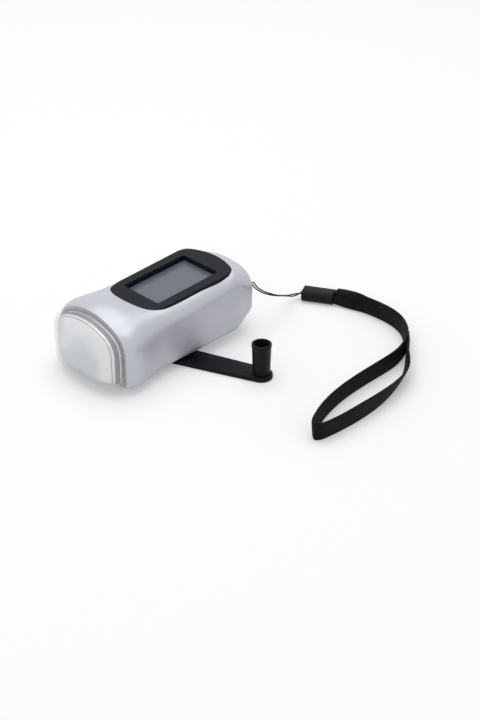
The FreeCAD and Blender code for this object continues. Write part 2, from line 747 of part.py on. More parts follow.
PLUG_INSET = 2.0
PLUG_WALL = 1.0
skirt_start = front - size("skirt_length")
lens_outside = feature("lens_outside", lens_loft(0.0, front))
lens_inside = feature("lens_inside", lens_loft(size("lens_wall"), front - 1.0))
skirt_outside = front_plug("skirt_outside", PLUG_INSET, skirt_start, front + 0.5)
skirt_inside = front_plug("skirt_inside", PLUG_INSET + PLUG_WALL, skirt_start - 1.0, front + 2.0)
lens_cup = cut("lens_cup", lens_outside, lens_inside)
lens = node("lens", cut("lens", fuse("lens_solid", lens_cup, skirt_outside), skirt_inside))

reflector_back = size("reflector_back")
REFLECTOR_INSET = PLUG_INSET + PLUG_WALL + 0.15
REFLECTOR_FRONT = front - 0.4
BOWL_RADIUS = 7.0
BOWL_NECK = 2.7
LED_COUNT = 3


REFLECTOR_WALL = 1.2
NECK_LENGTH = 2.0


def bowl(index, wall, overrun):
    """Revolved bowl round one lamp diode, along X, grown by a wall and run on past both of its ends."""
    depth = REFLECTOR_FRONT - reflector_back
    neck = BOWL_NECK + wall
    mouth = BOWL_RADIUS + wall
    profile = [
        Vector(-overrun, 0, 0), Vector(-overrun, neck, 0), Vector(NECK_LENGTH, neck, 0),
        Vector(depth, mouth, 0), Vector(depth + overrun, mouth, 0), Vector(depth + overrun, 0, 0),
    ]
    flare = Vector(depth * 0.45, BOWL_RADIUS * 0.78 + wall, 0)
    edges = []
    for start, end in zip(profile, profile[1:] + profile[:1]):
        if start is profile[2]:
            edges.append(Part.Arc(start, flare, end).toShape())
        elif start.distanceToPoint(end) > 0:
            edges.append(Part.LineSegment(start, end).toShape())
    solid = Part.Face(Part.Wire(edges)).revolve(Vector(), Vector(1, 0, 0), 360)
    offset = (index - (LED_COUNT - 1) / 2) * size("led_pitch")
    return feature("bowl", solid, Placement(Vector(reflector_back, offset, size("led_height")), Rotation()))


reflector_block = front_plug("reflector_block", REFLECTOR_INSET, reflector_back, REFLECTOR_FRONT)
reflector_plate = front_plug("reflector_plate", REFLECTOR_INSET, REFLECTOR_FRONT - REFLECTOR_WALL, REFLECTOR_FRONT)
bowl_walls = [bowl(index, REFLECTOR_WALL, 0.0) for index in range(LED_COUNT)]
bowl_rooms = [bowl(index, 0.0, 1.0) for index in range(LED_COUNT)]
reflector_solid = common("reflector_solid", fuse("reflector_walls", reflector_plate, *bowl_walls), reflector_block)
reflector = node("reflector", cut("reflector", reflector_solid, *bowl_rooms))


def led(index):
    """Round lamp diode: a rim, a barrel and a dome."""
    y = f"({index} - 1) * Sizes.led_pitch"
    rim = cylinder("led_rim", "Sizes.led_radius + 0.4", "1", "Sizes.led_board_front", y, "Sizes.led_height", ALONG_X)
    barrel = cylinder("led_barrel", "Sizes.led_radius", "5", "Sizes.led_board_front", y, "Sizes.led_height",
                      ALONG_X)
    dome = doc.addObject("Part::Sphere", "led_dome")
    bind(dome, Radius="Sizes.led_radius")
    place(dome, "Sizes.led_board_front + 5", y, "Sizes.led_height")
    return fuse("led", rim, barrel, dome)


leds = node("leds", group("leds", *[led(index) for index in range(LED_COUNT)]))
LED_BOARD_WIDTH = 36.0
LED_BOARD_HEIGHT = 14.0
led_board = node("led_board", box("led_board", "Sizes.board_thickness", LED_BOARD_WIDTH, LED_BOARD_HEIGHT,
                                  "Sizes.led_board_front - Sizes.board_thickness / 2", "0",
                                  f"Sizes.led_height - {LED_BOARD_HEIGHT / 2}"))

# Crank: hub, hinge, arm and knob
crank_turn = "Sizes.crank_angle"
FAR = 20.0
GROOVE_DEPTH = 0.6
CLIP_THICKNESS = 0.5
CLIP_RADIUS = 4.2

hub_body = new_body("crank_hub", crank_turn)
hub_disc = new_sketch(hub_body, "hub_disc")
add_circle(hub_disc, "Sizes.hub_radius")
pad(hub_body, hub_disc, "Sizes.hub_top", "hub_disc_pad")
hub_shaft = new_sketch(hub_body, "hub_shaft", lift="Sizes.hub_top")
add_circle(hub_shaft, "Sizes.shaft_radius")
pad(hub_body, hub_shaft, "Sizes.shaft_top - Sizes.hub_top", "hub_shaft_pad")
CHANNEL_HALF = size("arm_root_width") / 2 + 0.2
hub_channel = new_sketch(hub_body, "hub_channel")
add_outline(hub_channel, polygon([(-FAR, -CHANNEL_HALF), (FAR, -CHANNEL_HALF), (FAR, CHANNEL_HALF),
                                  (-FAR, CHANNEL_HALF)]))
pocket(hub_body, hub_channel, "Sizes.channel_depth", "hub_channel_pocket")
GROOVE_BOTTOM = size("first_level") + 2.1
groove = new_sketch(hub_body, "clip_groove", lift=str(GROOVE_BOTTOM))
add_circle(groove, "Sizes.shaft_radius + 1")
add_circle(groove, f"Sizes.shaft_radius - {GROOVE_DEPTH}")
pocket(hub_body, groove, str(CLIP_THICKNESS), "clip_groove_pocket")
fold_pin_hole = new_sketch(hub_body, "fold_pin_hole", "XZ_Plane", f"-{FAR}")
add_circle(fold_pin_hole, "Sizes.fold_pin_radius", -size("fold_offset"), size("fold_height"))
pocket(hub_body, fold_pin_hole, f"{2 * FAR}", "fold_pin_pocket")
crank_hub = node("crank_hub", hub_body)

PIN_LENGTH = 19.0
crank_rotation = Rotation(Vector(0, 0, 1), size("crank_angle"))
pin_start = crank_rotation.multVec(Vector(-size("fold_offset"), -PIN_LENGTH / 2, size("fold_height")))
fold_pin = node("fold_pin", cylinder("fold_pin", "Sizes.fold_pin_radius", str(PIN_LENGTH), str(pin_start.x),
                                     str(pin_start.y), str(pin_start.z), crank_rotation.multiply(ALONG_Y)))

hub_bush = node("hub_bush", cut("hub_bush",
                                cylinder("bush_sleeve", BUSH_RADIUS, BUSH_HEIGHT, "0", "0", HUB_RECESS_TOP),
                                cylinder("bush_bore", "Sizes.shaft_radius + Sizes.running_gap", FAR)))
crank_clip = node("crank_clip", cut("crank_clip",
                                    cylinder("clip_disc", CLIP_RADIUS, CLIP_THICKNESS, "0", "0", GROOVE_BOTTOM),
                                    cylinder("clip_bore", f"Sizes.shaft_radius - {GROOVE_DEPTH}", FAR)))

reach = size("arm_reach")
offset = size("fold_offset")
root_half = size("arm_root_width") / 2
tip_half = size("arm_tip_width") / 2
arm_body = new_body("crank_arm", crank_turn)
arm_plate = new_sketch(arm_body, "arm_plate")
taper = math.asin((root_half - tip_half) / reach)
tip_tangent = (reach + tip_half * math.sin(taper), tip_half * math.cos(taper))
add_outline(arm_plate, [
    Part.LineSegment(Vector(-offset, -root_half, 0), Vector(0, -root_half, 0)),
    Part.LineSegment(Vector(0, -root_half, 0), Vector(tip_tangent[0], -tip_tangent[1], 0)),
    Part.Arc(Vector(tip_tangent[0], -tip_tangent[1], 0), Vector(reach + tip_half, 0, 0),
             Vector(tip_tangent[0], tip_tangent[1], 0)),
    Part.LineSegment(Vector(tip_tangent[0], tip_tangent[1], 0), Vector(0, root_half, 0)),
    Part.LineSegment(Vector(0, root_half, 0), Vector(-offset, root_half, 0)),
    Part.LineSegment(Vector(-offset, root_half, 0), Vector(-offset, -root_half, 0)),
])
pad(arm_body, arm_plate, "Sizes.arm_thickness", "arm_plate_pad")
barrel_sketch = new_sketch(arm_body, "arm_barrel", "XZ_Plane", f"-{root_half}")
add_circle(barrel_sketch, "Sizes.fold_height", -offset, size("fold_height"))
pad(arm_body, barrel_sketch, f"{2 * root_half}", "arm_barrel_pad")
bore_sketch = new_sketch(arm_body, "arm_bore", "XZ_Plane", f"-{FAR}")
add_circle(bore_sketch, "Sizes.fold_pin_radius + Sizes.running_gap", -offset, size("fold_height"))
pocket(arm_body, bore_sketch, f"{2 * FAR}", "arm_bore_pocket")
rivet_sketch = new_sketch(arm_body, "arm_rivet_hole")
add_circle(rivet_sketch, "Sizes.rivet_radius", reach, 0.0)
pocket(arm_body, rivet_sketch, str(FAR), "arm_rivet_pocket")
crank_arm = node("crank_arm", arm_body)

knob_at = polar((0.0, 0.0), reach, size("crank_angle"))
knob_foot = size("arm_thickness") + size("knob_gap")
knob_top = knob_foot + size("knob_height")
knob_floor = size("knob_floor")
rivet_radius = size("rivet_radius")
LIP_HEIGHT = 1.5
LIP_SLOPE = 0.5

sleeve_body = new_body("knob_sleeve")
revolve(sleeve_body, [
    (rivet_radius + size("running_gap"), 0.0),
    (size("knob_foot_radius"), 0.0),
    (size("knob_radius"), size("knob_height") - LIP_HEIGHT - LIP_SLOPE),
    (size("knob_lip_radius"), size("knob_height") - LIP_HEIGHT),
    (size("knob_lip_radius"), size("knob_height")),
    (size("knob_bore_radius"), size("knob_height")),
    (size("knob_bore_radius"), knob_floor),
    (rivet_radius + size("running_gap"), knob_floor),
], "sleeve_turning")
place(sleeve_body, str(knob_at[0]), str(knob_at[1]), str(knob_foot))
knob_sleeve = node("knob_sleeve", sleeve_body)

RIVET_FOOT = 0.2
RIVET_HEAD_RADIUS = 2.9
RIVET_HEAD_HEIGHT = 1.0
RIVET_HEAD_SLOPE = 0.4
rivet_head_bottom = knob_foot + knob_floor + 0.1
rivet_body = new_body("knob_rivet")
revolve(rivet_body, [
    (0.0, RIVET_FOOT),
    (rivet_radius, RIVET_FOOT),
    (rivet_radius, rivet_head_bottom),
    (RIVET_HEAD_RADIUS, rivet_head_bottom),
    (RIVET_HEAD_RADIUS - RIVET_HEAD_SLOPE, rivet_head_bottom + RIVET_HEAD_HEIGHT),
    (0.0, rivet_head_bottom + RIVET_HEAD_HEIGHT),
], "rivet_turning")
place(rivet_body, str(knob_at[0]), str(knob_at[1]), "0")
knob_rivet = node("knob_rivet", rivet_body)

# Gears


def involute(angle):
    """Involute function of a pressure angle."""
    return math.tan(angle) - angle


def gear_face(teeth, phase):
    """Toothed outline with involute flanks, one tooth centred on the phase angle."""
    pitch = module * teeth / 2
    base = pitch * math.cos(PRESSURE_ANGLE)
    tip = pitch + ADDENDUM * module
    root = pitch - DEDENDUM * module
    flank_start = max(base, root)
    half_tooth = math.pi / (2 * teeth) - size("gear_backlash") / (2 * pitch)

    def half_angle(radius):
        return half_tooth + involute(PRESSURE_ANGLE) - involute(math.acos(min(base / radius, 1.0)))

    def at(radius, angle):
        return Vector(radius * math.cos(angle), radius * math.sin(angle), 0)

    middle = (flank_start + tip) / 2
    step = 2 * math.pi / teeth
    edges = []
    for index in range(teeth):
        centre = phase + index * step
        foot = half_angle(flank_start)
        rising = [at(flank_start, centre - foot), at(middle, centre - half_angle(middle)),
                  at(tip, centre - half_angle(tip))]
        falling = [at(tip, centre + half_angle(tip)), at(middle, centre + half_angle(middle)),
                   at(flank_start, centre + foot)]
        edges.append(Part.Arc(*rising))
        edges.append(Part.Arc(rising[2], at(tip, centre), falling[0]))
        edges.append(Part.Arc(*falling))
        valley = [at(root, centre + foot), at(root, centre + step / 2), at(root, centre + step - foot)]
        if root < base:
            edges.append(Part.LineSegment(falling[2], valley[0]))
        edges.append(Part.Arc(*valley))
        if root < base:
            edges.append(Part.LineSegment(valley[2], at(flank_start, centre + step - foot)))
    return Part.Face(Part.Wire([edge.toShape() for edge in edges]))


def gear_solid(teeth, phase, bottom, thickness, at):
    """A toothed disc at a place in plan."""
    solid = gear_face(teeth, phase).extrude(Vector(0, 0, thickness))
    solid.translate(Vector(at[0], at[1], bottom))
    return solid


def mesh_phase(teeth, phase, other_teeth, direction):
    """Phase that puts a gap of the other gear on this gear's tooth, in a direction in degrees."""
    angle = math.radians(direction)
    return angle + math.pi + math.pi / other_teeth - teeth / other_teeth * (phase - angle)


first = size("first_level")
second = size("second_level")
third = size("third_level")
thick = size("wheel_thickness")
axle = size("axle_radius")
gap = size("running_gap")
CRANK_GEAR_THICKNESS = 2.0
NO_TURN = 0.0


def upright(radius, bottom, top, at=(0.0, 0.0)):
    """A plain upright cylinder between two heights."""
    return Part.makeCylinder(radius, top - bottom, Vector(at[0], at[1], bottom))


crank_gear = node("crank_gear", feature(
    "crank_gear",
    gear_solid(CRANK_TEETH, NO_TURN, first, CRANK_GEAR_THICKNESS, (0.0, 0.0)).cut(
        upright(size("shaft_radius"), 0.0, 20.0))))


def idler(name, at, pinion_bottom, wheel_bottom, pinion_phase):
    """Pinion and wheel in one piece, the pinion under the wheel, bored to run on its axle."""
    pinion = gear_solid(PINION_TEETH, pinion_phase, pinion_bottom, wheel_bottom - pinion_bottom, at)
    wheel = gear_solid(WHEEL_TEETH, NO_TURN, wheel_bottom, thick, at)
    return node(name, feature(name, pinion.fuse(wheel).cut(upright(axle + gap, 0.0, 30.0, at))))


idler_gear_a = idler("idler_gear_a", idler_a_at, first, second,
                     mesh_phase(CRANK_TEETH, NO_TURN, PINION_TEETH, IDLER_A_ANGLE))
idler_gear_b = idler("idler_gear_b", idler_b_at, second, third,
                     mesh_phase(WHEEL_TEETH, NO_TURN, PINION_TEETH, IDLER_B_ANGLE))

plate_top = size("plate_height") + size("plate_thickness")
rotor_bottom = size("rotor_bottom")
rotor_top = rotor_bottom + size("rotor_height")
rotor_pinion = node("rotor_pinion", feature(
    "rotor_pinion",
    gear_solid(PINION_TEETH, mesh_phase(WHEEL_TEETH, NO_TURN, PINION_TEETH, ROTOR_ANGLE), third, thick + 0.4,
               rotor_at).cut(upright(axle, 0.0, 30.0, rotor_at))))
rotor_shaft = node("rotor_shaft", post("rotor_shaft", rotor_at, "Sizes.axle_radius", rotor_top + 0.8, SHAFT_FOOT))
rotor_magnet = node("rotor_magnet", cut(
    "rotor_magnet",
    cylinder("magnet_drum", "Sizes.rotor_radius", "Sizes.rotor_height", str(rotor_at[0]), str(rotor_at[1]),
             "Sizes.rotor_bottom"),
    hole("magnet_bore", rotor_at, "Sizes.axle_radius", BELOW)))

axles = [post("idler_axle", at, "Sizes.axle_radius", plate_top, PIN_FOOT) for at in (idler_a_at, idler_b_at)]
gear_axles = node("gear_axles", group("gear_axles", *axles))

# Gear plate
plate_body = new_body("gear_plate")
plate_sketch = new_sketch(plate_body, "plate_outline", lift="Sizes.plate_height")
add_outline(plate_sketch, polygon([(-45.9, -12), (-40, -16), (-20, -19), (-6, -19), (-6, -8), (-7.5, 0),
                                   (-6, 8), (-6, 19), (-40, 18), (-45.9, 16)]))
pad(plate_body, plate_sketch, "Sizes.plate_thickness", "plate_pad")
plate_holes = new_sketch(plate_body, "plate_holes", lift="Sizes.plate_height")
for at in (idler_a_at, idler_b_at):
    add_circle(plate_holes, "Sizes.axle_radius", *at)
add_circle(plate_holes, "Sizes.axle_radius + Sizes.running_gap", *rotor_at)
for at in PLATE_SCREWS:
    add_circle(plate_holes, "0.95", *at)
pocket(plate_body, plate_holes, "Sizes.plate_thickness", "plate_hole_pocket")
gear_plate = node("gear_plate", plate_body)

# Generator
stator = size("stator_radius")
STATOR_BORE = 7.5
CAN_WALL = 0.7
FLANGE = 0.6
TUBE_WALL = 0.5
can_bottom = plate_top
can_top = rotor_top + 0.5


def ring(outer, inner, bottom, top, at):
    """Upright ring between two heights."""
    return upright(outer, bottom, top, at).cut(upright(inner, bottom - 1, top + 1, at))


can_shape = ring(stator, stator - CAN_WALL, can_bottom, can_top, rotor_at).fuse(
    ring(stator, axle + 1.0, can_bottom, can_bottom + CAN_WALL, rotor_at))
stator_can = node("stator_can", feature("stator_can", can_shape.removeSplitter()))
stator_cap = node("stator_cap", feature("stator_cap", ring(stator, STATOR_BORE, can_top, can_top + CAN_WALL,
                                                           rotor_at)))
coil_bottom = can_bottom + CAN_WALL + FLANGE
coil_top = can_top - FLANGE
bobbin_shape = ring(stator - CAN_WALL, STATOR_BORE, can_bottom + CAN_WALL, coil_bottom, rotor_at)
bobbin_shape = bobbin_shape.fuse(ring(stator - CAN_WALL, STATOR_BORE, coil_top, can_top, rotor_at))
bobbin_shape = bobbin_shape.fuse(
    ring(STATOR_BORE + TUBE_WALL, STATOR_BORE, can_bottom + CAN_WALL, can_top, rotor_at))
bobbin = node("bobbin", feature("bobbin", bobbin_shape.removeSplitter()))
stator_coil = node("stator_coil", feature("stator_coil", ring(
    stator - CAN_WALL - 0.2, STATOR_BORE + TUBE_WALL, coil_bottom, coil_top, rotor_at)))

# Battery and its holder
CELL_COUNT = 3
cell_pitch = size("cell_thickness") + 0.1
cells = [
    cylinder("button_cell", "Sizes.cell_radius", "Sizes.cell_thickness", "Sizes.cell_axis_x",
             str((index - 1.5) * cell_pitch), "Sizes.cell_axis_height", ALONG_Y) for index in range(CELL_COUNT)
]
battery_cells = node("battery_cells", group("battery_cells", *cells))
stack_half = cell_pitch * CELL_COUNT / 2
TAB_THICKNESS = 0.3
TAB_WIDTH = 5.0
TAB_HEIGHT = 12.0
tabs = [box("battery_tab", TAB_WIDTH, TAB_THICKNESS, TAB_HEIGHT, "Sizes.cell_axis_x", y,
            f"Sizes.cell_axis_height - {TAB_HEIGHT / 2}")
        for y in (-stack_half - TAB_THICKNESS / 2, stack_half + TAB_THICKNESS / 2)]
battery_tabs = node("battery_tabs", group("battery_tabs", *tabs))
HOLDER_LENGTH = 15.0
HOLDER_WIDTH = 31.0
HOLDER_GAP_WIDTH = 27.4
HOLDER_BOTTOM = size("underside") + size("wall")
HOLDER_TOP = 17.0
GEAR_ROOM_TOP = 14.4
END_PLATE_LENGTH = 13.0
END_PLATE_HEIGHT = 9.0
END_PLATE_THICKNESS = 1.0
end_plate_out = stack_half + 0.4 + END_PLATE_THICKNESS / 2
holder_block = box("holder_block", HOLDER_LENGTH, HOLDER_WIDTH, HOLDER_TOP - HOLDER_BOTTOM,
                   "Sizes.cell_axis_x", "0", HOLDER_BOTTOM)
holder_gap = box("holder_gap", FAR, HOLDER_GAP_WIDTH, GEAR_ROOM_TOP - HOLDER_BOTTOM, "Sizes.cell_axis_x", "0",
                 HOLDER_BOTTOM)
holder_cradle = cylinder("holder_cradle", "Sizes.cell_radius + 0.1", 2 * FAR, "Sizes.cell_axis_x", -FAR,
                         "Sizes.cell_axis_height", ALONG_Y)
hub_pad_room = cylinder("hub_pad_room", "Sizes.hub_radius + 2.2", "1.5", "0", "0", HOLDER_BOTTOM)
holder_frame = cut("holder_frame", holder_block, holder_gap, holder_cradle, hub_pad_room)
end_plates = [box("end_plate", END_PLATE_LENGTH, END_PLATE_THICKNESS, END_PLATE_HEIGHT, "Sizes.cell_axis_x",
                  sign * end_plate_out, GEAR_ROOM_TOP) for sign in (-1, 1)]
battery_holder = node("battery_holder", fuse("battery_holder", holder_frame, *end_plates))

# Main board and the parts on it
BOARD_FRONT = -7.5
BOARD_BACK = -45.5
board_middle = (BOARD_FRONT + BOARD_BACK) / 2
board_sheet = box("board_sheet", str(BOARD_FRONT - BOARD_BACK), "35", "Sizes.board_thickness", str(board_middle),
                  "0", "Sizes.main_board_height")
board_holes = [cylinder("board_hole", "0.85", "5", str(x), str(y), "Sizes.main_board_height - 1")
               for x, y in BOARD_SCREWS]
main_board = node("main_board", cut("main_board", board_sheet, *board_holes))
BOARD_TOP = "Sizes.main_board_height + Sizes.board_thickness"
board_chip = node("board_chip", box("board_chip", "5", "4", "1.5", "-22", "3", BOARD_TOP))
board_capacitor = node("board_capacitor", cylinder("board_capacitor", "2", "8", "-40", "-4", f"{BOARD_TOP} + 2",
                                                   ALONG_Y))
DIODE_COUNT = 4
diodes = [box("diode", "3.6", "1.6", "1.1", "-32", str(-9 + 3 * index), BOARD_TOP) for index in range(DIODE_COUNT)]
board_diodes = node("board_diodes", group("board_diodes", *diodes))

# Screws


def screw(at, shank, head, seat, length, head_height, upward):
    """Pan head screw whose shank leaves its seat upward or downward."""
    if upward:
        body_shape = upright(shank, seat, seat + length, at).fuse(upright(head, seat - head_height, seat, at))
        slot_bottom = seat - head_height
    else:
        body_shape = upright(shank, seat - length, seat, at).fuse(upright(head, seat, seat + head_height, at))
        slot_bottom = seat + head_height - 0.5
    for turn in (0, 90):
        bar = Part.makeBox(head * 1.3, 0.5, 0.5, Vector(-head * 0.65, -0.25, 0))
        bar.rotate(Vector(), Vector(0, 0, 1), turn)
        bar.translate(Vector(at[0], at[1], slot_bottom))
        body_shape = body_shape.cut(bar)
    return feature("screw", body_shape)


seat = size("screw_seat")
housing_screws = node("housing_screws", group("housing_screws", *[
    screw(at, size("screw_radius"), size("screw_head_radius"), seat, 16.0, 1.4, True) for at in HOUSING_SCREWS]))
plate_screws = node("plate_screws", group("plate_screws", *[
    screw(at, PLATE_SCREW_RADIUS, 1.6, plate_top, PLATE_SCREW_LENGTH, 1.0, False) for at in PLATE_SCREWS]))
board_screws = node("board_screws", group("board_screws", *[
    screw(at, 0.7, 1.4, size("main_board_height"), 4.5, 0.9, True) for at in BOARD_SCREWS]))

# Wrist strap
NOSE_LENGTH = 1.2
NOSE_RADIUS = 1.6
NOSE_SPREAD = 0.75
STRING_BAR_GAP = 0.3
ferrule_start = Vector(*STRING_FERRULE_END)
ferrule_end = Vector(*FERRULE_FAR_END)
ferrule_axis = ferrule_end.sub(ferrule_start)
ferrule_length = ferrule_axis.Length
ferrule_turn = Rotation(Vector(0, 0, 1), math.degrees(math.atan2(ferrule_axis.y, ferrule_axis.x)))
ferrule_base = Vector(ferrule_start.x, ferrule_start.y, 0)


def ferrule_shape():
    """Flat oval block, rounded along its edges, with a short nose where the string goes in."""
    half = size("ferrule_width") / 2
    block = Part.makeBox(ferrule_length, 2 * half, size("ferrule_height"), Vector(0, -half, 0))
    long_edges = [edge for edge in block.Edges if abs(edge.tangentAt(edge.FirstParameter).x) > 0.9]
    block = block.makeFillet(size("ferrule_round"), long_edges)
    nose = Part.makeCylinder(NOSE_RADIUS, NOSE_LENGTH, Vector(-NOSE_LENGTH, 0, size("ferrule_height") / 2),
                             Vector(1, 0, 0))
    return block.fuse(nose)


strap_ferrule = node("strap_ferrule", feature("strap_ferrule", ferrule_shape(),
                                              Placement(ferrule_base, ferrule_turn)))


def rounded_path(points):
    """Straight runs joined by tangent arcs, each as large as its two runs allow; also the arcs' radii."""
    edges = []
    radii = []
    start = points[0]
    for before, corner, after in zip(points, points[1:], points[2:]):
        arriving = before.sub(corner)
        leaving = after.sub(corner)
        turn = math.pi - arriving.getAngle(leaving)
        cutback = 0.45 * min(arriving.Length, leaving.Length)
        radii.append(cutback / math.tan(turn / 2))
        arriving.normalize()
        leaving.normalize()
        first_point = corner.add(arriving * cutback)
        last_point = corner.add(leaving * cutback)
        inward = (arriving + leaving).normalize()
        reach_in = radii[-1] / math.cos(turn / 2) - radii[-1]
        edges.append(Part.LineSegment(start, first_point).toShape())
        edges.append(Part.Arc(first_point, corner.add(inward * reach_in), last_point).toShape())
        start = last_point
    edges.append(Part.LineSegment(start, points[-1]).toShape())
    return Part.Wire(edges), radii


def strand(side):
    """One strand of the string: the route moved sideways in plan by its spacing."""
    line = [Vector(*p) for p in STRING_ROUTE]
    moved = []
    for index, point in enumerate(line):
        ahead = line[min(index + 1, len(line) - 1)]
        behind = line[max(index - 1, 0)]
        along = ahead.sub(behind)
        across = Vector(-along.y, along.x, 0).normalize()
        moved.append(point.add(across * (side * STRAND_SPACING[index])))
    return moved


nose_tip = ferrule_base.sub(Vector(ferrule_axis.x, ferrule_axis.y, 0).normalize() * NOSE_LENGTH)
nose_tip.z = size("ferrule_height") / 2
across_nose = Vector(-ferrule_axis.y, ferrule_axis.x, 0).normalize() * NOSE_SPREAD
turn_half = size("bar_radius") + size("string_diameter") / 2 + STRING_BAR_GAP
turn_depth = size("lanyard_x") + turn_half
lanyard_y = size("lanyard_y")
lanyard_z = size("lanyard_height")
string_points = [nose_tip.add(across_nose)] + strand(-1)[::-1]
string_points += [Vector(turn_depth, lanyard_y + turn_half, lanyard_z),
                  Vector(turn_depth, lanyard_y - turn_half, lanyard_z)]
string_points += strand(1) + [nose_tip.sub(across_nose)]


def tube(path, radius):
    """Round tube along a path."""
    start = path.Vertexes[0].Point
    edge = path.Edges[0]
    direction = edge.tangentAt(edge.FirstParameter)
    profile = Part.Wire([Part.Circle(start, direction, radius).toShape()])
    return Part.Wire(path).makePipeShell([profile], True, True, 2)


string_path, string_radii = rounded_path(string_points)
string_radius = size("string_diameter") / 2
strap_string = node("strap_string", feature("strap_string", tube(string_path, string_radius)))
string_volume = math.pi * string_radius ** 2 * string_path.Length
print("string length", round(string_path.Length, 1), "radii", [round(r, 1) for r in string_radii])
print("string volume over section times length", round(strap_string.Shape.Volume / string_volume, 4))


def moved_in_plan(points, distance):
    """The route moved sideways in plan, mitred at its corners."""
    runs = [after.sub(before).normalize() for before, after in zip(points, points[1:])]
    moved = []
    for index, point in enumerate(points):
        arriving = runs[max(index - 1, 0)]
        leaving = runs[min(index, len(runs) - 1)]
        bisector = (arriving + leaving).normalize()
        across = Vector(-bisector.y, bisector.x, 0)
        moved.append(point.add(across * (distance / bisector.dot(arriving))))
    return moved


def ribbon(name, route, thickness):
    """Webbing that stands on its edge along a route in plan."""
    points = [Vector(x, y, 0) for x, y in route]
    path, radii = rounded_path(points)
    left, right = [rounded_path(moved_in_plan(points, sign * thickness / 2))[0] for sign in (1, -1)]
    start_cap = Part.LineSegment(left.Vertexes[0].Point, right.Vertexes[0].Point).toShape()
    end_cap = Part.LineSegment(left.Vertexes[-1].Point, right.Vertexes[-1].Point).toShape()
    outline = Part.Wire(Part.__sortEdges__(left.Edges + right.Edges + [start_cap, end_cap]))
    solid = Part.Face(outline).extrude(Vector(0, 0, size("webbing_width")))
    print(name, "length", round(path.Length, 1), "radii", [round(r, 1) for r in radii])
    expected = path.Length * thickness * size("webbing_width")
    print(name, "volume over section times length", round(solid.Volume / expected, 4))
    return node(name, feature(name, solid))


strap_sewn = ribbon("strap_sewn", SEWN_ROUTE, 2 * size("webbing_thickness"))
strap_loop = ribbon("strap_loop", LOOP_ROUTE, size("webbing_thickness"))

# Checks and export
doc.recompute()
faults = [obj.Name for obj in doc.Objects if "Invalid" in obj.State or "Error" in obj.State]
for name, obj in nodes.items():
    shape = obj.Shape
    if shape.isNull() or not shape.isValid() or not shape.Solids:
        faults.append(name)
if faults:
    raise RuntimeError("faulty objects: " + ", ".join(faults))

os.makedirs("parts", exist_ok=True)
for name, obj in nodes.items():
    obj.Shape.exportStep(f"parts/{name}.step")
print(len(nodes), "pieces")
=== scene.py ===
"""Looks of a hand crank flashlight: silver shell, clear lens, solar panel, winding crank and wrist strap.

Metres, +Z up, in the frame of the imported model: +X points at the lens and +Y at the side that the crank is
swung out to. Finishes come first, then one class for each sub-assembly, and main() puts them together.
"""
import logging
import math
from dataclasses import dataclass
from enum import Enum
from typing import Callable, Iterable, Sequence

import bmesh
import bpy
from mathutils import Matrix, Vector


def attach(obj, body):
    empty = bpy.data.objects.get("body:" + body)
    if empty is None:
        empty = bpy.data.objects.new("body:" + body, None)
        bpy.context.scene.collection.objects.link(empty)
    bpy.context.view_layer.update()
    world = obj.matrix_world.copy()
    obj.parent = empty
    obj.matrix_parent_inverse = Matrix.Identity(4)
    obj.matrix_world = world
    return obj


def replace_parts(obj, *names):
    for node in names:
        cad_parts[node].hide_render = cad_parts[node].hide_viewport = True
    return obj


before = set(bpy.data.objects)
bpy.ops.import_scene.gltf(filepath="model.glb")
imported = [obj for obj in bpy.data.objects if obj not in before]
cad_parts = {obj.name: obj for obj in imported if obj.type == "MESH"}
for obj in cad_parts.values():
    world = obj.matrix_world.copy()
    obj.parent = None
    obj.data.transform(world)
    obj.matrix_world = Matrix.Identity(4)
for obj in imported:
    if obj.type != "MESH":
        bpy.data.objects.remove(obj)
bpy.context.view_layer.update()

LOG = logging.getLogger("flashlight")
MM = 0.001
Colour = tuple[float, float, float]
Point = tuple[float, float, float]


# Shader building


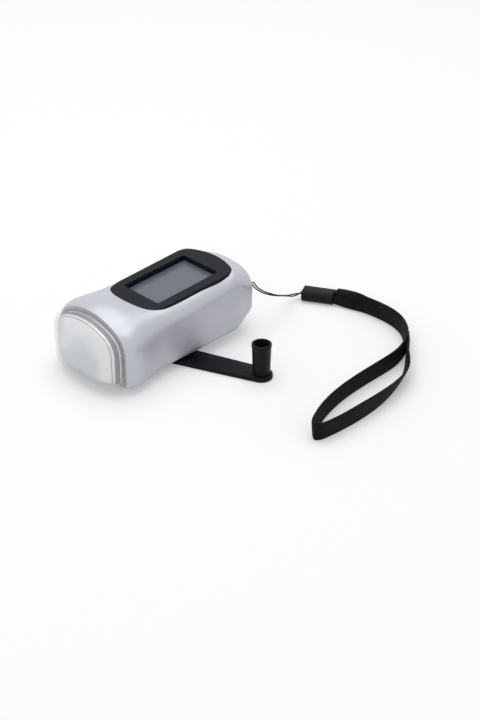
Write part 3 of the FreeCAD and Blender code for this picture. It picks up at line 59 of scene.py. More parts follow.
class Wiring:
    """Adds nodes to one node tree and joins them up."""

    def __init__(self, tree: bpy.types.NodeTree) -> None:
        """Keeps the tree."""
        self.tree = tree

    def add(self, kind: str, **settings: object) -> bpy.types.Node:
        """Adds a node.

        Args:
            kind: node type without its leading "ShaderNode".
            settings: properties of the node.

        Returns:
            The node.
        """
        made = self.tree.nodes.new("ShaderNode" + kind)
        for name, value in settings.items():
            setattr(made, name, value)
        return made

    def feed(self, target: bpy.types.NodeSocket, source: object) -> None:
        """Links a socket to another, or writes a constant on it.

        Args:
            target: input socket.
            source: output socket, number or tuple.
        """
        if isinstance(source, bpy.types.NodeSocket):
            self.tree.links.new(source, target)
        else:
            target.default_value = source

    def math(self, operation: str, first: object, second: object = 0.0, third: object = 0.0,
             clamp: bool = False) -> bpy.types.NodeSocket:
        """Adds a Math node.

        Args:
            operation: name of the operation.
            first: first value or socket.
            second: second value or socket.
            third: third value or socket.
            clamp: whether the result is kept from 0 to 1.

        Returns:
            The result.
        """
        made = self.add("Math", operation=operation, use_clamp=clamp)
        for socket, value in zip(made.inputs, (first, second, third)):
            self.feed(socket, value)
        return made.outputs[0]

    def ramp(self, value: object, low: float, high: float, start: float = 0.0,
             end: float = 1.0) -> bpy.types.NodeSocket:
        """Maps a range of a value to another with eased ends, held outside it.

        Args:
            value: value or socket to map.
            low: value that gives the start.
            high: value that gives the end.
            start: result at low.
            end: result at high.

        Returns:
            The mapped value.
        """
        made = self.add("MapRange", interpolation_type="SMOOTHSTEP")
        for name, given in zip(("Value", "From Min", "From Max", "To Min", "To Max"),
                               (value, low, high, start, end)):
            self.feed(made.inputs[name], given)
        return made.outputs["Result"]

    def mix(self, mask: object, first: object, second: object, blend: str = "MIX") -> bpy.types.NodeSocket:
        """Mixes two colours by a mask.

        Args:
            mask: 0 gives the first colour and 1 the second.
            first: colour or socket.
            second: colour or socket.
            blend: name of the blend type.

        Returns:
            The mixed colour.
        """
        made = self.add("Mix", data_type="RGBA", blend_type=blend)
        for socket, value in zip((made.inputs[0], made.inputs[6], made.inputs[7]), (mask, first, second)):
            self.feed(socket, (*value, 1.0) if isinstance(value, tuple) and len(value) == 3 else value)
        return made.outputs[2]

    def place(self) -> bpy.types.NodeSocket:
        """The point of the surface in object coordinates."""
        return self.add("TexCoord").outputs["Object"]

    def axes(self, vector: object) -> bpy.types.NodeOutputs:
        """The three components of a vector."""
        made = self.add("SeparateXYZ")
        self.feed(made.inputs[0], vector)
        return made.outputs

    def noise(self, at: object, scale: float, detail: float = 3.0) -> bpy.types.NodeSocket:
        """Noise from 0 to 1.

        Args:
            at: where it is read.
            scale: features per metre.
            detail: octaves.

        Returns:
            The noise value.
        """
        made = self.add("TexNoise")
        for name, value in (("Vector", at), ("Scale", scale), ("Detail", detail)):
            self.feed(made.inputs[name], value)
        return made.outputs["Fac"]

    def group(self, effect: "Effect", **values: object) -> bpy.types.NodeOutputs:
        """Places an effect's node group.

        Args:
            effect: the effect.
            values: its inputs by name, with spaces written as underscores.

        Returns:
            The group's outputs.
        """
        made = self.add("Group", node_tree=effect.tree())
        for name, value in values.items():
            self.feed(made.inputs[name.replace("_", " ")], value)
        return made.outputs

    def bump(self, height: object, distance: float, strength: float = 1.0,
             normal: object = None) -> bpy.types.NodeSocket:
        """Bump from a height.

        Args:
            height: height from 0 to 1.
            distance: how deep that is, in metres.
            strength: how much of it is used.
            normal: normal that it is laid over.

        Returns:
            The new normal.
        """
        made = self.add("Bump")
        self.feed(made.inputs["Height"], height)
        self.feed(made.inputs["Distance"], distance)
        self.feed(made.inputs["Strength"], strength)
        if normal is not None:
            self.feed(made.inputs["Normal"], normal)
        return made.outputs["Normal"]


class Kind(Enum):
    """Types of group socket."""

    VALUE = "NodeSocketFloat"
    VECTOR = "NodeSocketVector"


class Effect:
    """A node group that several finishes use, built when it is first asked for."""

    def __init__(self, name: str, inputs: dict[str, tuple[Kind, float | None]], outputs: Sequence[str],
                 wire: Callable[[Wiring, bpy.types.NodeOutputs, bpy.types.NodeInputs], None]) -> None:
        """Keeps what the group is made of.

        Args:
            name: name of the group.
            inputs: type and default of each input.
            outputs: names of the values that it puts out.
            wire: function that joins the group's inputs to its outputs.
        """
        self.name = name
        self.inputs = inputs
        self.outputs = outputs
        self.wire = wire

    def tree(self) -> bpy.types.NodeTree:
        """The group's tree, built once."""
        found = bpy.data.node_groups.get(self.name)
        if found is None:
            found = bpy.data.node_groups.new(self.name, "ShaderNodeTree")
            for name, (kind, default) in self.inputs.items():
                socket = found.interface.new_socket(name, in_out="INPUT", socket_type=kind.value)
                if default is not None:
                    socket.default_value = default
            for name in self.outputs:
                found.interface.new_socket(name, in_out="OUTPUT", socket_type=Kind.VALUE.value)
            entry = found.nodes.new("NodeGroupInput")
            leave = found.nodes.new("NodeGroupOutput")
            self.wire(Wiring(found), entry.outputs, leave.inputs)
        return found


def wire_grain(wiring: Wiring, given: bpy.types.NodeOutputs, result: bpy.types.NodeInputs) -> None:
    """Fine moulded texture of a plastic surface.

    Args:
        wiring: the group's wiring.
        given: the group's inputs.
        result: where its results go.
    """
    cells = wiring.add("TexVoronoi", feature="SMOOTH_F1")
    wiring.feed(cells.inputs["Vector"], given["Place"])
    wiring.feed(cells.inputs["Scale"], given["Scale"])
    fine = wiring.noise(given["Place"], given["Scale"], 4.0)
    height = wiring.math("MULTIPLY_ADD", cells.outputs["Distance"], 0.55, wiring.math("MULTIPLY", fine, 0.45))
    wiring.feed(result["Height"], height)
    wiring.feed(result["Shade"], wiring.ramp(fine, 0.3, 0.7))


def wire_handling(wiring: Wiring, given: bpy.types.NodeOutputs, result: bpy.types.NodeInputs) -> None:
    """Soft smudges and fine rubbed lines that handling leaves.

    Args:
        wiring: the group's wiring.
        given: the group's inputs.
        result: where its results go.
    """
    soft = wiring.noise(given["Place"], given["Smudge Scale"], 5.0)
    stretched = wiring.add("Mapping")
    wiring.feed(stretched.inputs["Vector"], given["Place"])
    stretched.inputs["Rotation"].default_value = (0.4, 0.2, 0.7)
    stretched.inputs["Scale"].default_value = (1.0, 14.0, 14.0)
    lines = wiring.noise(stretched.outputs["Vector"], given["Line Scale"], 2.0)
    wiring.feed(result["Smudge"], wiring.ramp(soft, 0.42, 0.68))
    wiring.feed(result["Lines"], wiring.ramp(lines, 0.62, 0.74))


def wire_dust(wiring: Wiring, given: bpy.types.NodeOutputs, result: bpy.types.NodeInputs) -> None:
    """Sparse specks, one in every few cells.

    Args:
        wiring: the group's wiring.
        given: the group's inputs.
        result: where its results go.
    """
    cells = wiring.add("TexVoronoi", feature="F1")
    wiring.feed(cells.inputs["Vector"], given["Place"])
    wiring.feed(cells.inputs["Scale"], given["Scale"])
    pick = wiring.add("SeparateColor")
    wiring.feed(pick.inputs[0], cells.outputs["Color"])
    speck = wiring.ramp(cells.outputs["Distance"], 0.10, 0.04)
    rare = wiring.ramp(pick.outputs[0], 0.80, 0.86)
    wiring.feed(result["Mask"], wiring.math("MULTIPLY", speck, rare))


GRAIN = Effect("moulded_grain", {"Place": (Kind.VECTOR, None), "Scale": (Kind.VALUE, 2000.0)},
               ("Height", "Shade"), wire_grain)
HANDLING = Effect("handling_marks",
                  {"Place": (Kind.VECTOR, None), "Smudge Scale": (Kind.VALUE, 60.0),
                   "Line Scale": (Kind.VALUE, 40.0)},
                  ("Smudge", "Lines"), wire_handling)
DUST = Effect("dust_specks", {"Place": (Kind.VECTOR, None), "Scale": (Kind.VALUE, 700.0)},
              ("Mask",), wire_dust)


# Finishes


@dataclass(frozen=True)
class Finish:
    """What a surface looks like, made once as a material."""

    name: str

    def material(self) -> bpy.types.Material:
        """The finish as a material, made when it is first asked for."""
        found = bpy.data.materials.get(self.name)
        if found is None:
            found = bpy.data.materials.new(self.name)
            found.use_nodes = True
            self.wire(Wiring(found.node_tree), found.node_tree.nodes["Principled BSDF"].inputs)
        return found

    def wire(self, wiring: Wiring, shader: bpy.types.NodeInputs) -> None:
        """Fills in the shader.

        Args:
            wiring: the material's wiring.
            shader: inputs of its Principled shader.
        """
        raise NotImplementedError


@dataclass(frozen=True)
class PaintedShell(Finish):
    """Satin silver paint with fine flakes over moulded plastic."""

    colour: Colour = (0.60, 0.61, 0.67)
    shaded: Colour = (0.52, 0.53, 0.595)
    metallic: float = 0.45
    roughness: float = 0.38
    seam_height: float = 13.4 * MM
    seam_half: float = 0.11 * MM

    def wire(self, wiring: Wiring, shader: bpy.types.NodeInputs) -> None:
        """Paint with flakes, smudges, dust and the line where the halves meet.

        Args:
            wiring: the material's wiring.
            shader: inputs of its Principled shader.
        """
        at = wiring.place()
        grain = wiring.group(GRAIN, Place=at, Scale=3200.0)
        marks = wiring.group(HANDLING, Place=at, Smudge_Scale=45.0, Line_Scale=55.0)
        dust = wiring.group(DUST, Place=at, Scale=520.0)
        height = wiring.axes(at)[2]
        away = wiring.math("ABSOLUTE", wiring.math("SUBTRACT", height, self.seam_height))
        seam = wiring.ramp(away, self.seam_half * 1.6, self.seam_half * 0.5)
        tone = wiring.mix(wiring.math("MULTIPLY", grain["Shade"], 0.35), self.colour, self.shaded)
        tone = wiring.mix(wiring.math("MULTIPLY", marks["Smudge"], 0.18), tone, self.shaded)
        tone = wiring.mix(wiring.math("MULTIPLY", dust["Mask"], 0.35), tone, (0.78, 0.78, 0.76))
        tone = wiring.mix(wiring.math("MULTIPLY", seam, 0.12), tone, (0.22, 0.22, 0.24))
        wiring.feed(shader["Base Color"], tone)
        shader["Metallic"].default_value = self.metallic
        rough = wiring.math("MULTIPLY_ADD", marks["Smudge"], 0.07, self.roughness)
        rough = wiring.math("MULTIPLY_ADD", grain["Shade"], 0.05, rough)
        wiring.feed(shader["Roughness"], wiring.math("MULTIPLY_ADD", marks["Lines"], -0.03, rough))
        shader["Coat Weight"].default_value = 0.10
        shader["Coat Roughness"].default_value = 0.30
        fine = wiring.bump(grain["Height"], 0.012 * MM, 0.5)
        soft = wiring.bump(wiring.noise(at, 140.0), 0.10 * MM, 0.25, fine)
        wiring.feed(shader["Normal"], wiring.bump(wiring.math("SUBTRACT", 1.0, seam), 0.05 * MM, 0.2, soft))


@dataclass(frozen=True)
class MouldedPlastic(Finish):
    """Satin moulded plastic with a fine spark-eroded grain, rubbed smoother where it is handled."""

    colour: Colour = (0.006, 0.008, 0.012)
    rubbed: Colour = (0.012, 0.014, 0.019)
    roughness: float = 0.40
    grain_scale: float = 2600.0
    grain_depth: float = 0.02 * MM
    dusty: float = 0.25
    specular: float = 0.10

    def wire(self, wiring: Wiring, shader: bpy.types.NodeInputs) -> None:
        """Plastic with grain, rubbed lines and dust.

        Args:
            wiring: the material's wiring.
            shader: inputs of its Principled shader.
        """
        at = wiring.place()
        grain = wiring.group(GRAIN, Place=at, Scale=self.grain_scale)
        marks = wiring.group(HANDLING, Place=at, Smudge_Scale=90.0, Line_Scale=70.0)
        dust = wiring.group(DUST, Place=at, Scale=620.0)
        tone = wiring.mix(wiring.math("MULTIPLY", grain["Shade"], 0.4), self.colour, self.rubbed)
        tone = wiring.mix(wiring.math("MULTIPLY", marks["Lines"], 0.35), tone, self.rubbed)
        pale = tuple(min(1.0, channel * 2.0 + 0.05) for channel in self.rubbed)
        tone = wiring.mix(wiring.math("MULTIPLY", dust["Mask"], self.dusty), tone, pale)
        wiring.feed(shader["Base Color"], tone)
        shader["Specular IOR Level"].default_value = self.specular
        rough = wiring.math("MULTIPLY_ADD", marks["Smudge"], -0.08, self.roughness)
        wiring.feed(shader["Roughness"], wiring.math("MULTIPLY_ADD", grain["Shade"], 0.06, rough))
        wiring.feed(shader["Normal"], wiring.bump(grain["Height"], self.grain_depth, 0.6))


@dataclass(frozen=True)
class ClearPlastic(Finish):
    """Clear moulded plastic with faint flow marks and specks."""

    colour: Colour = (0.97, 0.985, 0.98)
    ior: float = 1.49
    roughness: float = 0.02

    def wire(self, wiring: Wiring, shader: bpy.types.NodeInputs) -> None:
        """Clear plastic.

        Args:
            wiring: the material's wiring.
            shader: inputs of its Principled shader.
        """
        at = wiring.place()
        marks = wiring.group(HANDLING, Place=at, Smudge_Scale=70.0, Line_Scale=50.0)
        shader["Base Color"].default_value = (*self.colour, 1.0)
        shader["Transmission Weight"].default_value = 1.0
        shader["IOR"].default_value = self.ior
        rough = wiring.math("MULTIPLY_ADD", marks["Smudge"], 0.03, self.roughness)
        wiring.feed(shader["Roughness"], wiring.math("MULTIPLY_ADD", marks["Lines"], 0.03, rough))
        wiring.feed(shader["Normal"], wiring.bump(wiring.noise(at, 120.0), 0.06 * MM, 0.25))


@dataclass(frozen=True)
class Satin(Finish):
    """Bright vacuum-metallised plastic, satin, with soft patches of painted grey shade."""

    colour: Colour = (0.95, 0.96, 0.97)
    painted_shade_grey: Colour = (0.66, 0.69, 0.73)
    warm: Colour = (0.97, 0.95, 0.95)

    def wire(self, wiring: Wiring, shader: bpy.types.NodeInputs) -> None:
        """Bright coating with soft patches of painted shade.

        Args:
            wiring: the material's wiring.
            shader: inputs of its Principled shader.
        """
        at = wiring.place()
        grain = wiring.group(GRAIN, Place=at, Scale=1800.0)
        # Mask for the soft grey patches of painted shade on the bright coating.
        cloud = wiring.ramp(wiring.noise(at, 38.0, 1.5), 0.46, 0.66)
        blush = wiring.ramp(wiring.noise(at, 55.0, 1.0), 0.45, 0.7)
        tone = wiring.mix(wiring.math("MULTIPLY", blush, 0.5), self.colour, self.warm)
        # Painted shade: the patches pull the colour towards the grey shade colour.
        wiring.feed(shader["Base Color"], wiring.mix(wiring.math("MULTIPLY", cloud, 0.8), tone, self.painted_shade_grey))
        shader["Metallic"].default_value = 0.9
        wiring.feed(shader["Roughness"], wiring.math("MULTIPLY_ADD", grain["Shade"], 0.08, 0.28))
        wiring.feed(shader["Normal"], wiring.bump(grain["Height"], 0.01 * MM, 0.3))


@dataclass(frozen=True)
class Metal(Finish):
    """Bare or plated metal with fine drawn lines and soft blotches."""

    colour: Colour = (0.62, 0.61, 0.60)
    dull: Colour = (0.45, 0.44, 0.43)
    roughness: float = 0.26
    line_scale: float = 900.0
    stretch: Point = (1.0, 1.0, 0.05)

    def wire(self, wiring: Wiring, shader: bpy.types.NodeInputs) -> None:
        """Metal with drawn lines.

        Args:
            wiring: the material's wiring.
            shader: inputs of its Principled shader.
        """
        at = wiring.place()
        along = wiring.add("Mapping")
        wiring.feed(along.inputs["Vector"], at)
        along.inputs["Scale"].default_value = self.stretch
        lines = wiring.noise(along.outputs["Vector"], self.line_scale, 2.0)
        blotch = wiring.ramp(wiring.noise(at, 160.0, 4.0), 0.4, 0.7)
        wiring.feed(shader["Base Color"], wiring.mix(wiring.math("MULTIPLY", blotch, 0.6), self.colour, self.dull))
        shader["Metallic"].default_value = 1.0
        rough = wiring.math("MULTIPLY_ADD", blotch, 0.08, self.roughness)
        wiring.feed(shader["Roughness"], wiring.math("MULTIPLY_ADD", lines, 0.06, rough))
        wiring.feed(shader["Normal"], wiring.bump(lines, 0.01 * MM, 0.35))


@dataclass(frozen=True)
class SolarFilm(Finish):
    """Dark glossy solar film under a clear cover, with faint cell strips."""

    colour: Colour = (0.085, 0.105, 0.130)
    deep: Colour = (0.060, 0.075, 0.095)
    strip: float = 7.8 * MM

    def wire(self, wiring: Wiring, shader: bpy.types.NodeInputs) -> None:
        """Film with strips and haze.

        Args:
            wiring: the material's wiring.
            shader: inputs of its Principled shader.
        """
        at = wiring.place()
        dust = wiring.group(DUST, Place=at, Scale=650.0)
        marks = wiring.group(HANDLING, Place=at, Smudge_Scale=55.0, Line_Scale=60.0)
        along = wiring.math("DIVIDE", wiring.axes(at)[0], self.strip)
        off_line = wiring.math("ABSOLUTE", wiring.math("SUBTRACT", wiring.math("FRACT", along), 0.5))
        line = wiring.ramp(off_line, 0.020, 0.008)
        cloud = wiring.ramp(wiring.noise(at, 60.0), 0.35, 0.65)
        tone = wiring.mix(wiring.math("MULTIPLY", cloud, 0.5), self.colour, self.deep)
        tone = wiring.mix(wiring.math("MULTIPLY", line, 0.22), tone, (0.03, 0.035, 0.045))
        tone = wiring.mix(wiring.math("MULTIPLY", dust["Mask"], 0.3), tone, (0.4, 0.4, 0.4))
        wiring.feed(shader["Base Color"], tone)
        wiring.feed(shader["Roughness"], wiring.math("MULTIPLY_ADD", marks["Smudge"], 0.06, 0.16))
        shader["Coat Weight"].default_value = 0.8
        shader["Coat Roughness"].default_value = 0.06
        wiring.feed(shader["Normal"], wiring.bump(wiring.noise(at, 90.0), 0.05 * MM, 0.15))


@dataclass(frozen=True)
class CircuitBoard(Finish):
    """Green solder mask with tracks that show through it."""

    colour: Colour = (0.010, 0.085, 0.035)
    track: Colour = (0.025, 0.150, 0.060)

    def wire(self, wiring: Wiring, shader: bpy.types.NodeInputs) -> None:
        """Solder mask with tracks.

        Args:
            wiring: the material's wiring.
            shader: inputs of its Principled shader.
        """
        at = wiring.place()
        bricks = wiring.add("TexBrick")
        wiring.feed(bricks.inputs["Vector"], at)
        for name, value in (("Scale", 260.0), ("Mortar Size", 0.03), ("Mortar Smooth", 0.1)):
            bricks.inputs[name].default_value = value
        lines = bricks.outputs["Fac"]
        wiring.feed(shader["Base Color"], wiring.mix(lines, self.colour, self.track))
        rough = wiring.math("MULTIPLY_ADD", wiring.noise(at, 900.0), 0.12, 0.24)
        wiring.feed(shader["Roughness"], rough)
        wiring.feed(shader["Normal"], wiring.bump(lines, 0.03 * MM, 0.6))


@dataclass(frozen=True)
class Webbing(Finish):
    """Black ribbed webbing. It reads the strap's own cloth attribute: across, height and distance along."""

    colour: Colour = (0.002, 0.003, 0.004)
    highlight_and_wear: Colour = (0.026, 0.029, 0.033)
    rib: float = 1.05 * MM
    pick: float = 0.75 * MM

    def wire(self, wiring: Wiring, shader: bpy.types.NodeInputs) -> None:
        """Ribs along the strap, crossed by picks that alternate from rib to rib, with a painted highlight on the raised
        weave.

        Args:
            wiring: the material's wiring.
            shader: inputs of its Principled shader.
        """
        cloth = wiring.add("Attribute", attribute_name="cloth").outputs["Vector"]
        across, height, along = (wiring.axes(cloth)[index] for index in range(3))
        rib_turn = wiring.math("MULTIPLY", height, math.tau / self.rib)
        rib = wiring.math("MULTIPLY_ADD", wiring.math("SINE", rib_turn), 0.5, 0.5)
        shift = wiring.math("MULTIPLY", wiring.math("FLOOR", wiring.math("DIVIDE", height, self.rib)), math.pi)
        pick_turn = wiring.math("MULTIPLY_ADD", along, math.tau / self.pick, shift)
        pick = wiring.math("MULTIPLY_ADD", wiring.math("SINE", pick_turn), 0.5, 0.5)
        weave = wiring.math("MULTIPLY_ADD", rib, 0.6, wiring.math("MULTIPLY", pick, 0.4))
        fuzz = wiring.noise(cloth, 2600.0, 5.0)
        uneven = wiring.ramp(wiring.noise(cloth, 110.0, 3.0), 0.35, 0.7)
        # Painted highlight: the raised weave is coloured lighter, varied by the fibre fuzz and by uneven patches of
        # wear.
        lit = wiring.math("MULTIPLY", weave, wiring.math("MULTIPLY_ADD", fuzz, 0.5, 0.45))
        tone = wiring.mix(wiring.math("MULTIPLY", lit, wiring.math("MULTIPLY_ADD", uneven, 0.5, 0.5)),
                          self.colour, self.highlight_and_wear)
        wiring.feed(shader["Base Color"], tone)
        wiring.feed(shader["Roughness"], wiring.math("MULTIPLY_ADD", fuzz, 0.2, 0.62))
        shader["Specular IOR Level"].default_value = 0.08
        shader["Sheen Weight"].default_value = 0.02
        shader["Sheen Roughness"].default_value = 0.5
        woven = wiring.bump(weave, 0.22 * MM, 0.9)
        wiring.feed(shader["Normal"], wiring.bump(fuzz, 0.06 * MM, 0.6, woven))


@dataclass(frozen=True)
class TwistedString(Finish):
    """Thin braided string. It reads the string's own cloth attribute: cosine, sine and distance along."""

    colour: Colour = (0.004, 0.005, 0.006)
    highlight_and_wear: Colour = (0.020, 0.021, 0.024)
    lay: float = 1.6 * MM

    def wire(self, wiring: Wiring, shader: bpy.types.NodeInputs) -> None:
        """Strands that wind round the string, with a painted highlight on their crowns and painted shade between them.

        Args:
            wiring: the material's wiring.
            shader: inputs of its Principled shader.
        """
        cloth = wiring.add("Attribute", attribute_name="cloth").outputs["Vector"]
        cosine, sine, along = (wiring.axes(cloth)[index] for index in range(3))
        turn = wiring.math("MULTIPLY", along, math.tau / self.lay)
        left = wiring.math("MULTIPLY", cosine, wiring.math("COSINE", turn))
        twist = wiring.math("MULTIPLY_ADD", sine, wiring.math("SINE", turn), left)
        strand = wiring.math("MULTIPLY_ADD", twist, 0.5, 0.5)
        # Painted highlight and shade: the crowns of the strands are coloured lighter and the grooves between them
        # darker.
        wiring.feed(shader["Base Color"], wiring.mix(strand, self.colour, self.highlight_and_wear))
        shader["Specular IOR Level"].default_value = 0.25
        wiring.feed(shader["Roughness"], wiring.math("MULTIPLY_ADD", wiring.noise(cloth, 1500.0), 0.15, 0.45))
        wiring.feed(shader["Normal"], wiring.bump(strand, 0.08 * MM, 0.8))


@dataclass(frozen=True)
class Windings(Metal):
    """Enamelled wire laid in close turns."""

    wire_pitch: float = 0.25 * MM

    def wire(self, wiring: Wiring, shader: bpy.types.NodeInputs) -> None:
        """Turns of wire over the metal.

        Args:
            wiring: the material's wiring.
            shader: inputs of its Principled shader.
        """
        super().wire(wiring, shader)
        height = wiring.axes(wiring.place())[2]
        turns = wiring.math("SINE", wiring.math("MULTIPLY", height, math.tau / self.wire_pitch))
        wiring.feed(shader["Normal"], wiring.bump(turns, 0.1 * MM, 0.9))


SHELL = PaintedShell("silver_paint")
TRIM = MouldedPlastic("black_trim_plastic")
ARM_PLASTIC = MouldedPlastic("crank_plastic", (0.006, 0.0075, 0.010), (0.012, 0.014, 0.017), 0.44)
RUBBER = MouldedPlastic("button_rubber", (0.018, 0.018, 0.020), (0.034, 0.034, 0.036), 0.62, 3200.0, 0.03 * MM)
FERRULE = MouldedPlastic("ferrule_plastic", (0.010, 0.011, 0.014), (0.020, 0.021, 0.025), 0.36)
WHITE = MouldedPlastic("white_nylon", (0.72, 0.71, 0.68), (0.64, 0.63, 0.59), 0.45, 1500.0, 0.02 * MM, 0.1, 0.5)
EPOXY = MouldedPlastic("chip_epoxy", (0.020, 0.020, 0.022), (0.035, 0.035, 0.038), 0.55, 3000.0)
SLEEVE = MouldedPlastic("capacitor_sleeve", (0.015, 0.020, 0.045), (0.030, 0.036, 0.070), 0.30, 900.0)
CLEAR = ClearPlastic("clear_lens")
SATIN = Satin("satin_reflector")
# Dark plastic for the bands of painted shade that the lens lining shows through the lens.
PAINTED_SHADE_RIM = MouldedPlastic("painted_shade_rim", (0.022, 0.024, 0.030), (0.036, 0.038, 0.045), 0.35, 2600.0, 0.005 * MM, 0.05, 0.12)
RESIN = ClearPlastic("diode_resin", (0.98, 0.98, 0.96), 1.52, 0.01)
CHROME = Metal("silvered_reflector", (0.93, 0.93, 0.94), (0.88, 0.88, 0.90), 0.07, 500.0, (0.2, 1.0, 1.0))
STEEL = Metal("plated_steel")
NICKEL = Metal("cell_nickel", (0.70, 0.69, 0.66), (0.58, 0.57, 0.54), 0.22, 700.0, (1.0, 0.05, 1.0))
BRASS = Metal("brass", (0.72, 0.52, 0.22), (0.58, 0.40, 0.16), 0.28)
DARK_METAL = Metal("ferrite", (0.10, 0.10, 0.11), (0.06, 0.06, 0.065), 0.5)
COPPER = Windings("copper_windings", (0.72, 0.33, 0.16), (0.55, 0.22, 0.09), 0.25)
FILM = SolarFilm("solar_film")
BOARD = CircuitBoard("circuit_board")
WEB = Webbing("strap_webbing")
STRING = TwistedString("strap_string")
THREAD = MouldedPlastic("stitch_thread", (0.020, 0.020, 0.023), (0.07, 0.07, 0.075), 0.6, 4000.0, 0.04 * MM, 0.0)

CARRIED_OVER = {
    SHELL: ("upper_housing", "lower_housing"),
    TRIM: ("solar_bezel", "crank_hub", "switch_body"),
    CLEAR: ("lens",),
    CHROME: ("reflector",),
    RESIN: ("leds",),
    BOARD: ("led_board", "solar_board", "main_board"),
    FILM: ("solar_cell",),
    EPOXY: ("board_chip", "board_diodes"),
    SLEEVE: ("board_capacitor",),
    STEEL: ("battery_tabs", "housing_screws", "plate_screws", "board_screws", "gear_axles", "fold_pin",
            "crank_clip", "knob_rivet", "rotor_shaft", "lanyard_bar", "stator_can", "stator_cap"),
    NICKEL: ("battery_cells",),
    WHITE: ("battery_holder", "gear_plate", "crank_gear", "idler_gear_a", "idler_gear_b", "bobbin"),
    BRASS: ("hub_bush", "rotor_pinion"),
    DARK_METAL: ("rotor_magnet",),
    COPPER: ("stator_coil",),
}


# Mesh building


def settle(name: str, bm: bmesh.types.BMesh, finish: Finish, sharp: float = 40.0) -> bpy.types.Object:
    """Turns a bmesh into a piece of the scene.

    Args:
        name: name of the piece.
        bm: the mesh, which is used up.
        finish: its finish.
        sharp: degrees over which an edge is shown sharp.

    Returns:
        The piece's object.
    """
    bmesh.ops.remove_doubles(bm, verts=bm.verts, dist=0.001 * MM)
    bmesh.ops.recalc_face_normals(bm, faces=bm.faces)
    for face in bm.faces:
        face.smooth = True
    for edge in bm.edges:
        edge.smooth = edge.calc_face_angle(0.0) < math.radians(sharp)
    mesh = bpy.data.meshes.new(name)
    bm.to_mesh(mesh)
    bm.free()
    mesh.materials.append(finish.material())
    made = bpy.data.objects.new(name, mesh)
    bpy.context.scene.collection.objects.link(made)
    LOG.info("%s: %d faces", name, len(mesh.polygons))
    return made


def corners(bm: bmesh.types.BMesh, degrees: float) -> list[bmesh.types.BMEdge]:
    """Edges that fold by more than some degrees.

    Args:
        bm: the mesh.
        degrees: least fold.

    Returns:
        The edges.
    """
    return [edge for edge in bm.edges if edge.calc_face_angle(0.0) > math.radians(degrees)]


def round_edges(bm: bmesh.types.BMesh, edges: Iterable[bmesh.types.BMEdge], radius: float,
                segments: int = 3) -> None:
    """Rounds edges.

    Args:
        bm: the mesh.
        edges: the edges.
        radius: how far the rounding reaches.
        segments: faces across it.
    """
    bmesh.ops.bevel(bm, geom=list(edges), offset=radius, segments=segments, profile=0.5, affect="EDGES",
                    material=-1, clamp_overlap=True)


def turned(bm: bmesh.types.BMesh, profile: Sequence[tuple[float, float]], centre: Vector, axis: Vector,
           out: Vector, steps: int = 64) -> None:
    """Turns a profile into a closed body.

    Args:
        bm: mesh that it is added to.
        profile: distance from the axis and distance along it, point by point.
        centre: where the axis starts.
        axis: direction of the axis.
        out: direction from the axis in which the profile is laid.
        steps: faces round it.
    """
    line = [bm.verts.new(centre + out * radius + axis * along) for radius, along in profile]
    edges = [bm.edges.new(pair) for pair in zip(line, line[1:])]
    bmesh.ops.spin(bm, geom=line + edges, cent=centre, axis=axis, angle=math.tau, steps=steps, use_merge=True)


class Direction(Enum):
    """How a swept section is kept level."""

    UPRIGHT = "stands on its edge"
    ROLLING = "turns with the line"


@dataclass
class Route:
    """A smooth line on control points, in metres."""

    name: str
    points: Sequence[Point]

    def line(self) -> list[Vector]:
        """Points along the smooth line.

        Returns:
            Points close together, from its start to its end.
        """
        data = bpy.data.curves.new(self.name, "CURVE")
        data.dimensions = "3D"
        data.resolution_u = 8
        spline = data.splines.new("NURBS")
        spline.points.add(len(self.points) - 1)
        for target, point in zip(spline.points, self.points):
            target.co = (*point, 1.0)
        spline.order_u = 3
        spline.use_endpoint_u = True
        holder = bpy.data.objects.new(self.name, data)
        mesh = bpy.data.meshes.new_from_object(holder)
        found = [vertex.co.copy() for vertex in mesh.vertices]
        bpy.data.meshes.remove(mesh)
        bpy.data.objects.remove(holder)
        bpy.data.curves.remove(data)
        return found


def travel(line: Sequence[Vector]) -> list[float]:
    """Distance from the start of a line to each of its points."""
    marks = [0.0]
    for start, end in zip(line, line[1:]):
        marks.append(marks[-1] + (end - start).length)
    return marks


def frames_along(line: Sequence[Vector], keep: Direction) -> list[tuple[Vector, Vector]]:
    """Across and up directions of a section at each point of a line.

    Args:
        line: the points.
        keep: how the section is kept level.

    Returns:
        The two directions, point by point.
    """
    found = []
    up = Vector((0.0, 0.0, 1.0))
    for index, point in enumerate(line):
        ahead = line[min(index + 1, len(line) - 1)]
        behind = line[max(index - 1, 0)]
        heading = (ahead - behind).normalized()
        across = up.cross(heading).normalized()
        if keep is Direction.ROLLING:
            up = heading.cross(across).normalized()
        found.append((across, up.copy()))
    return found


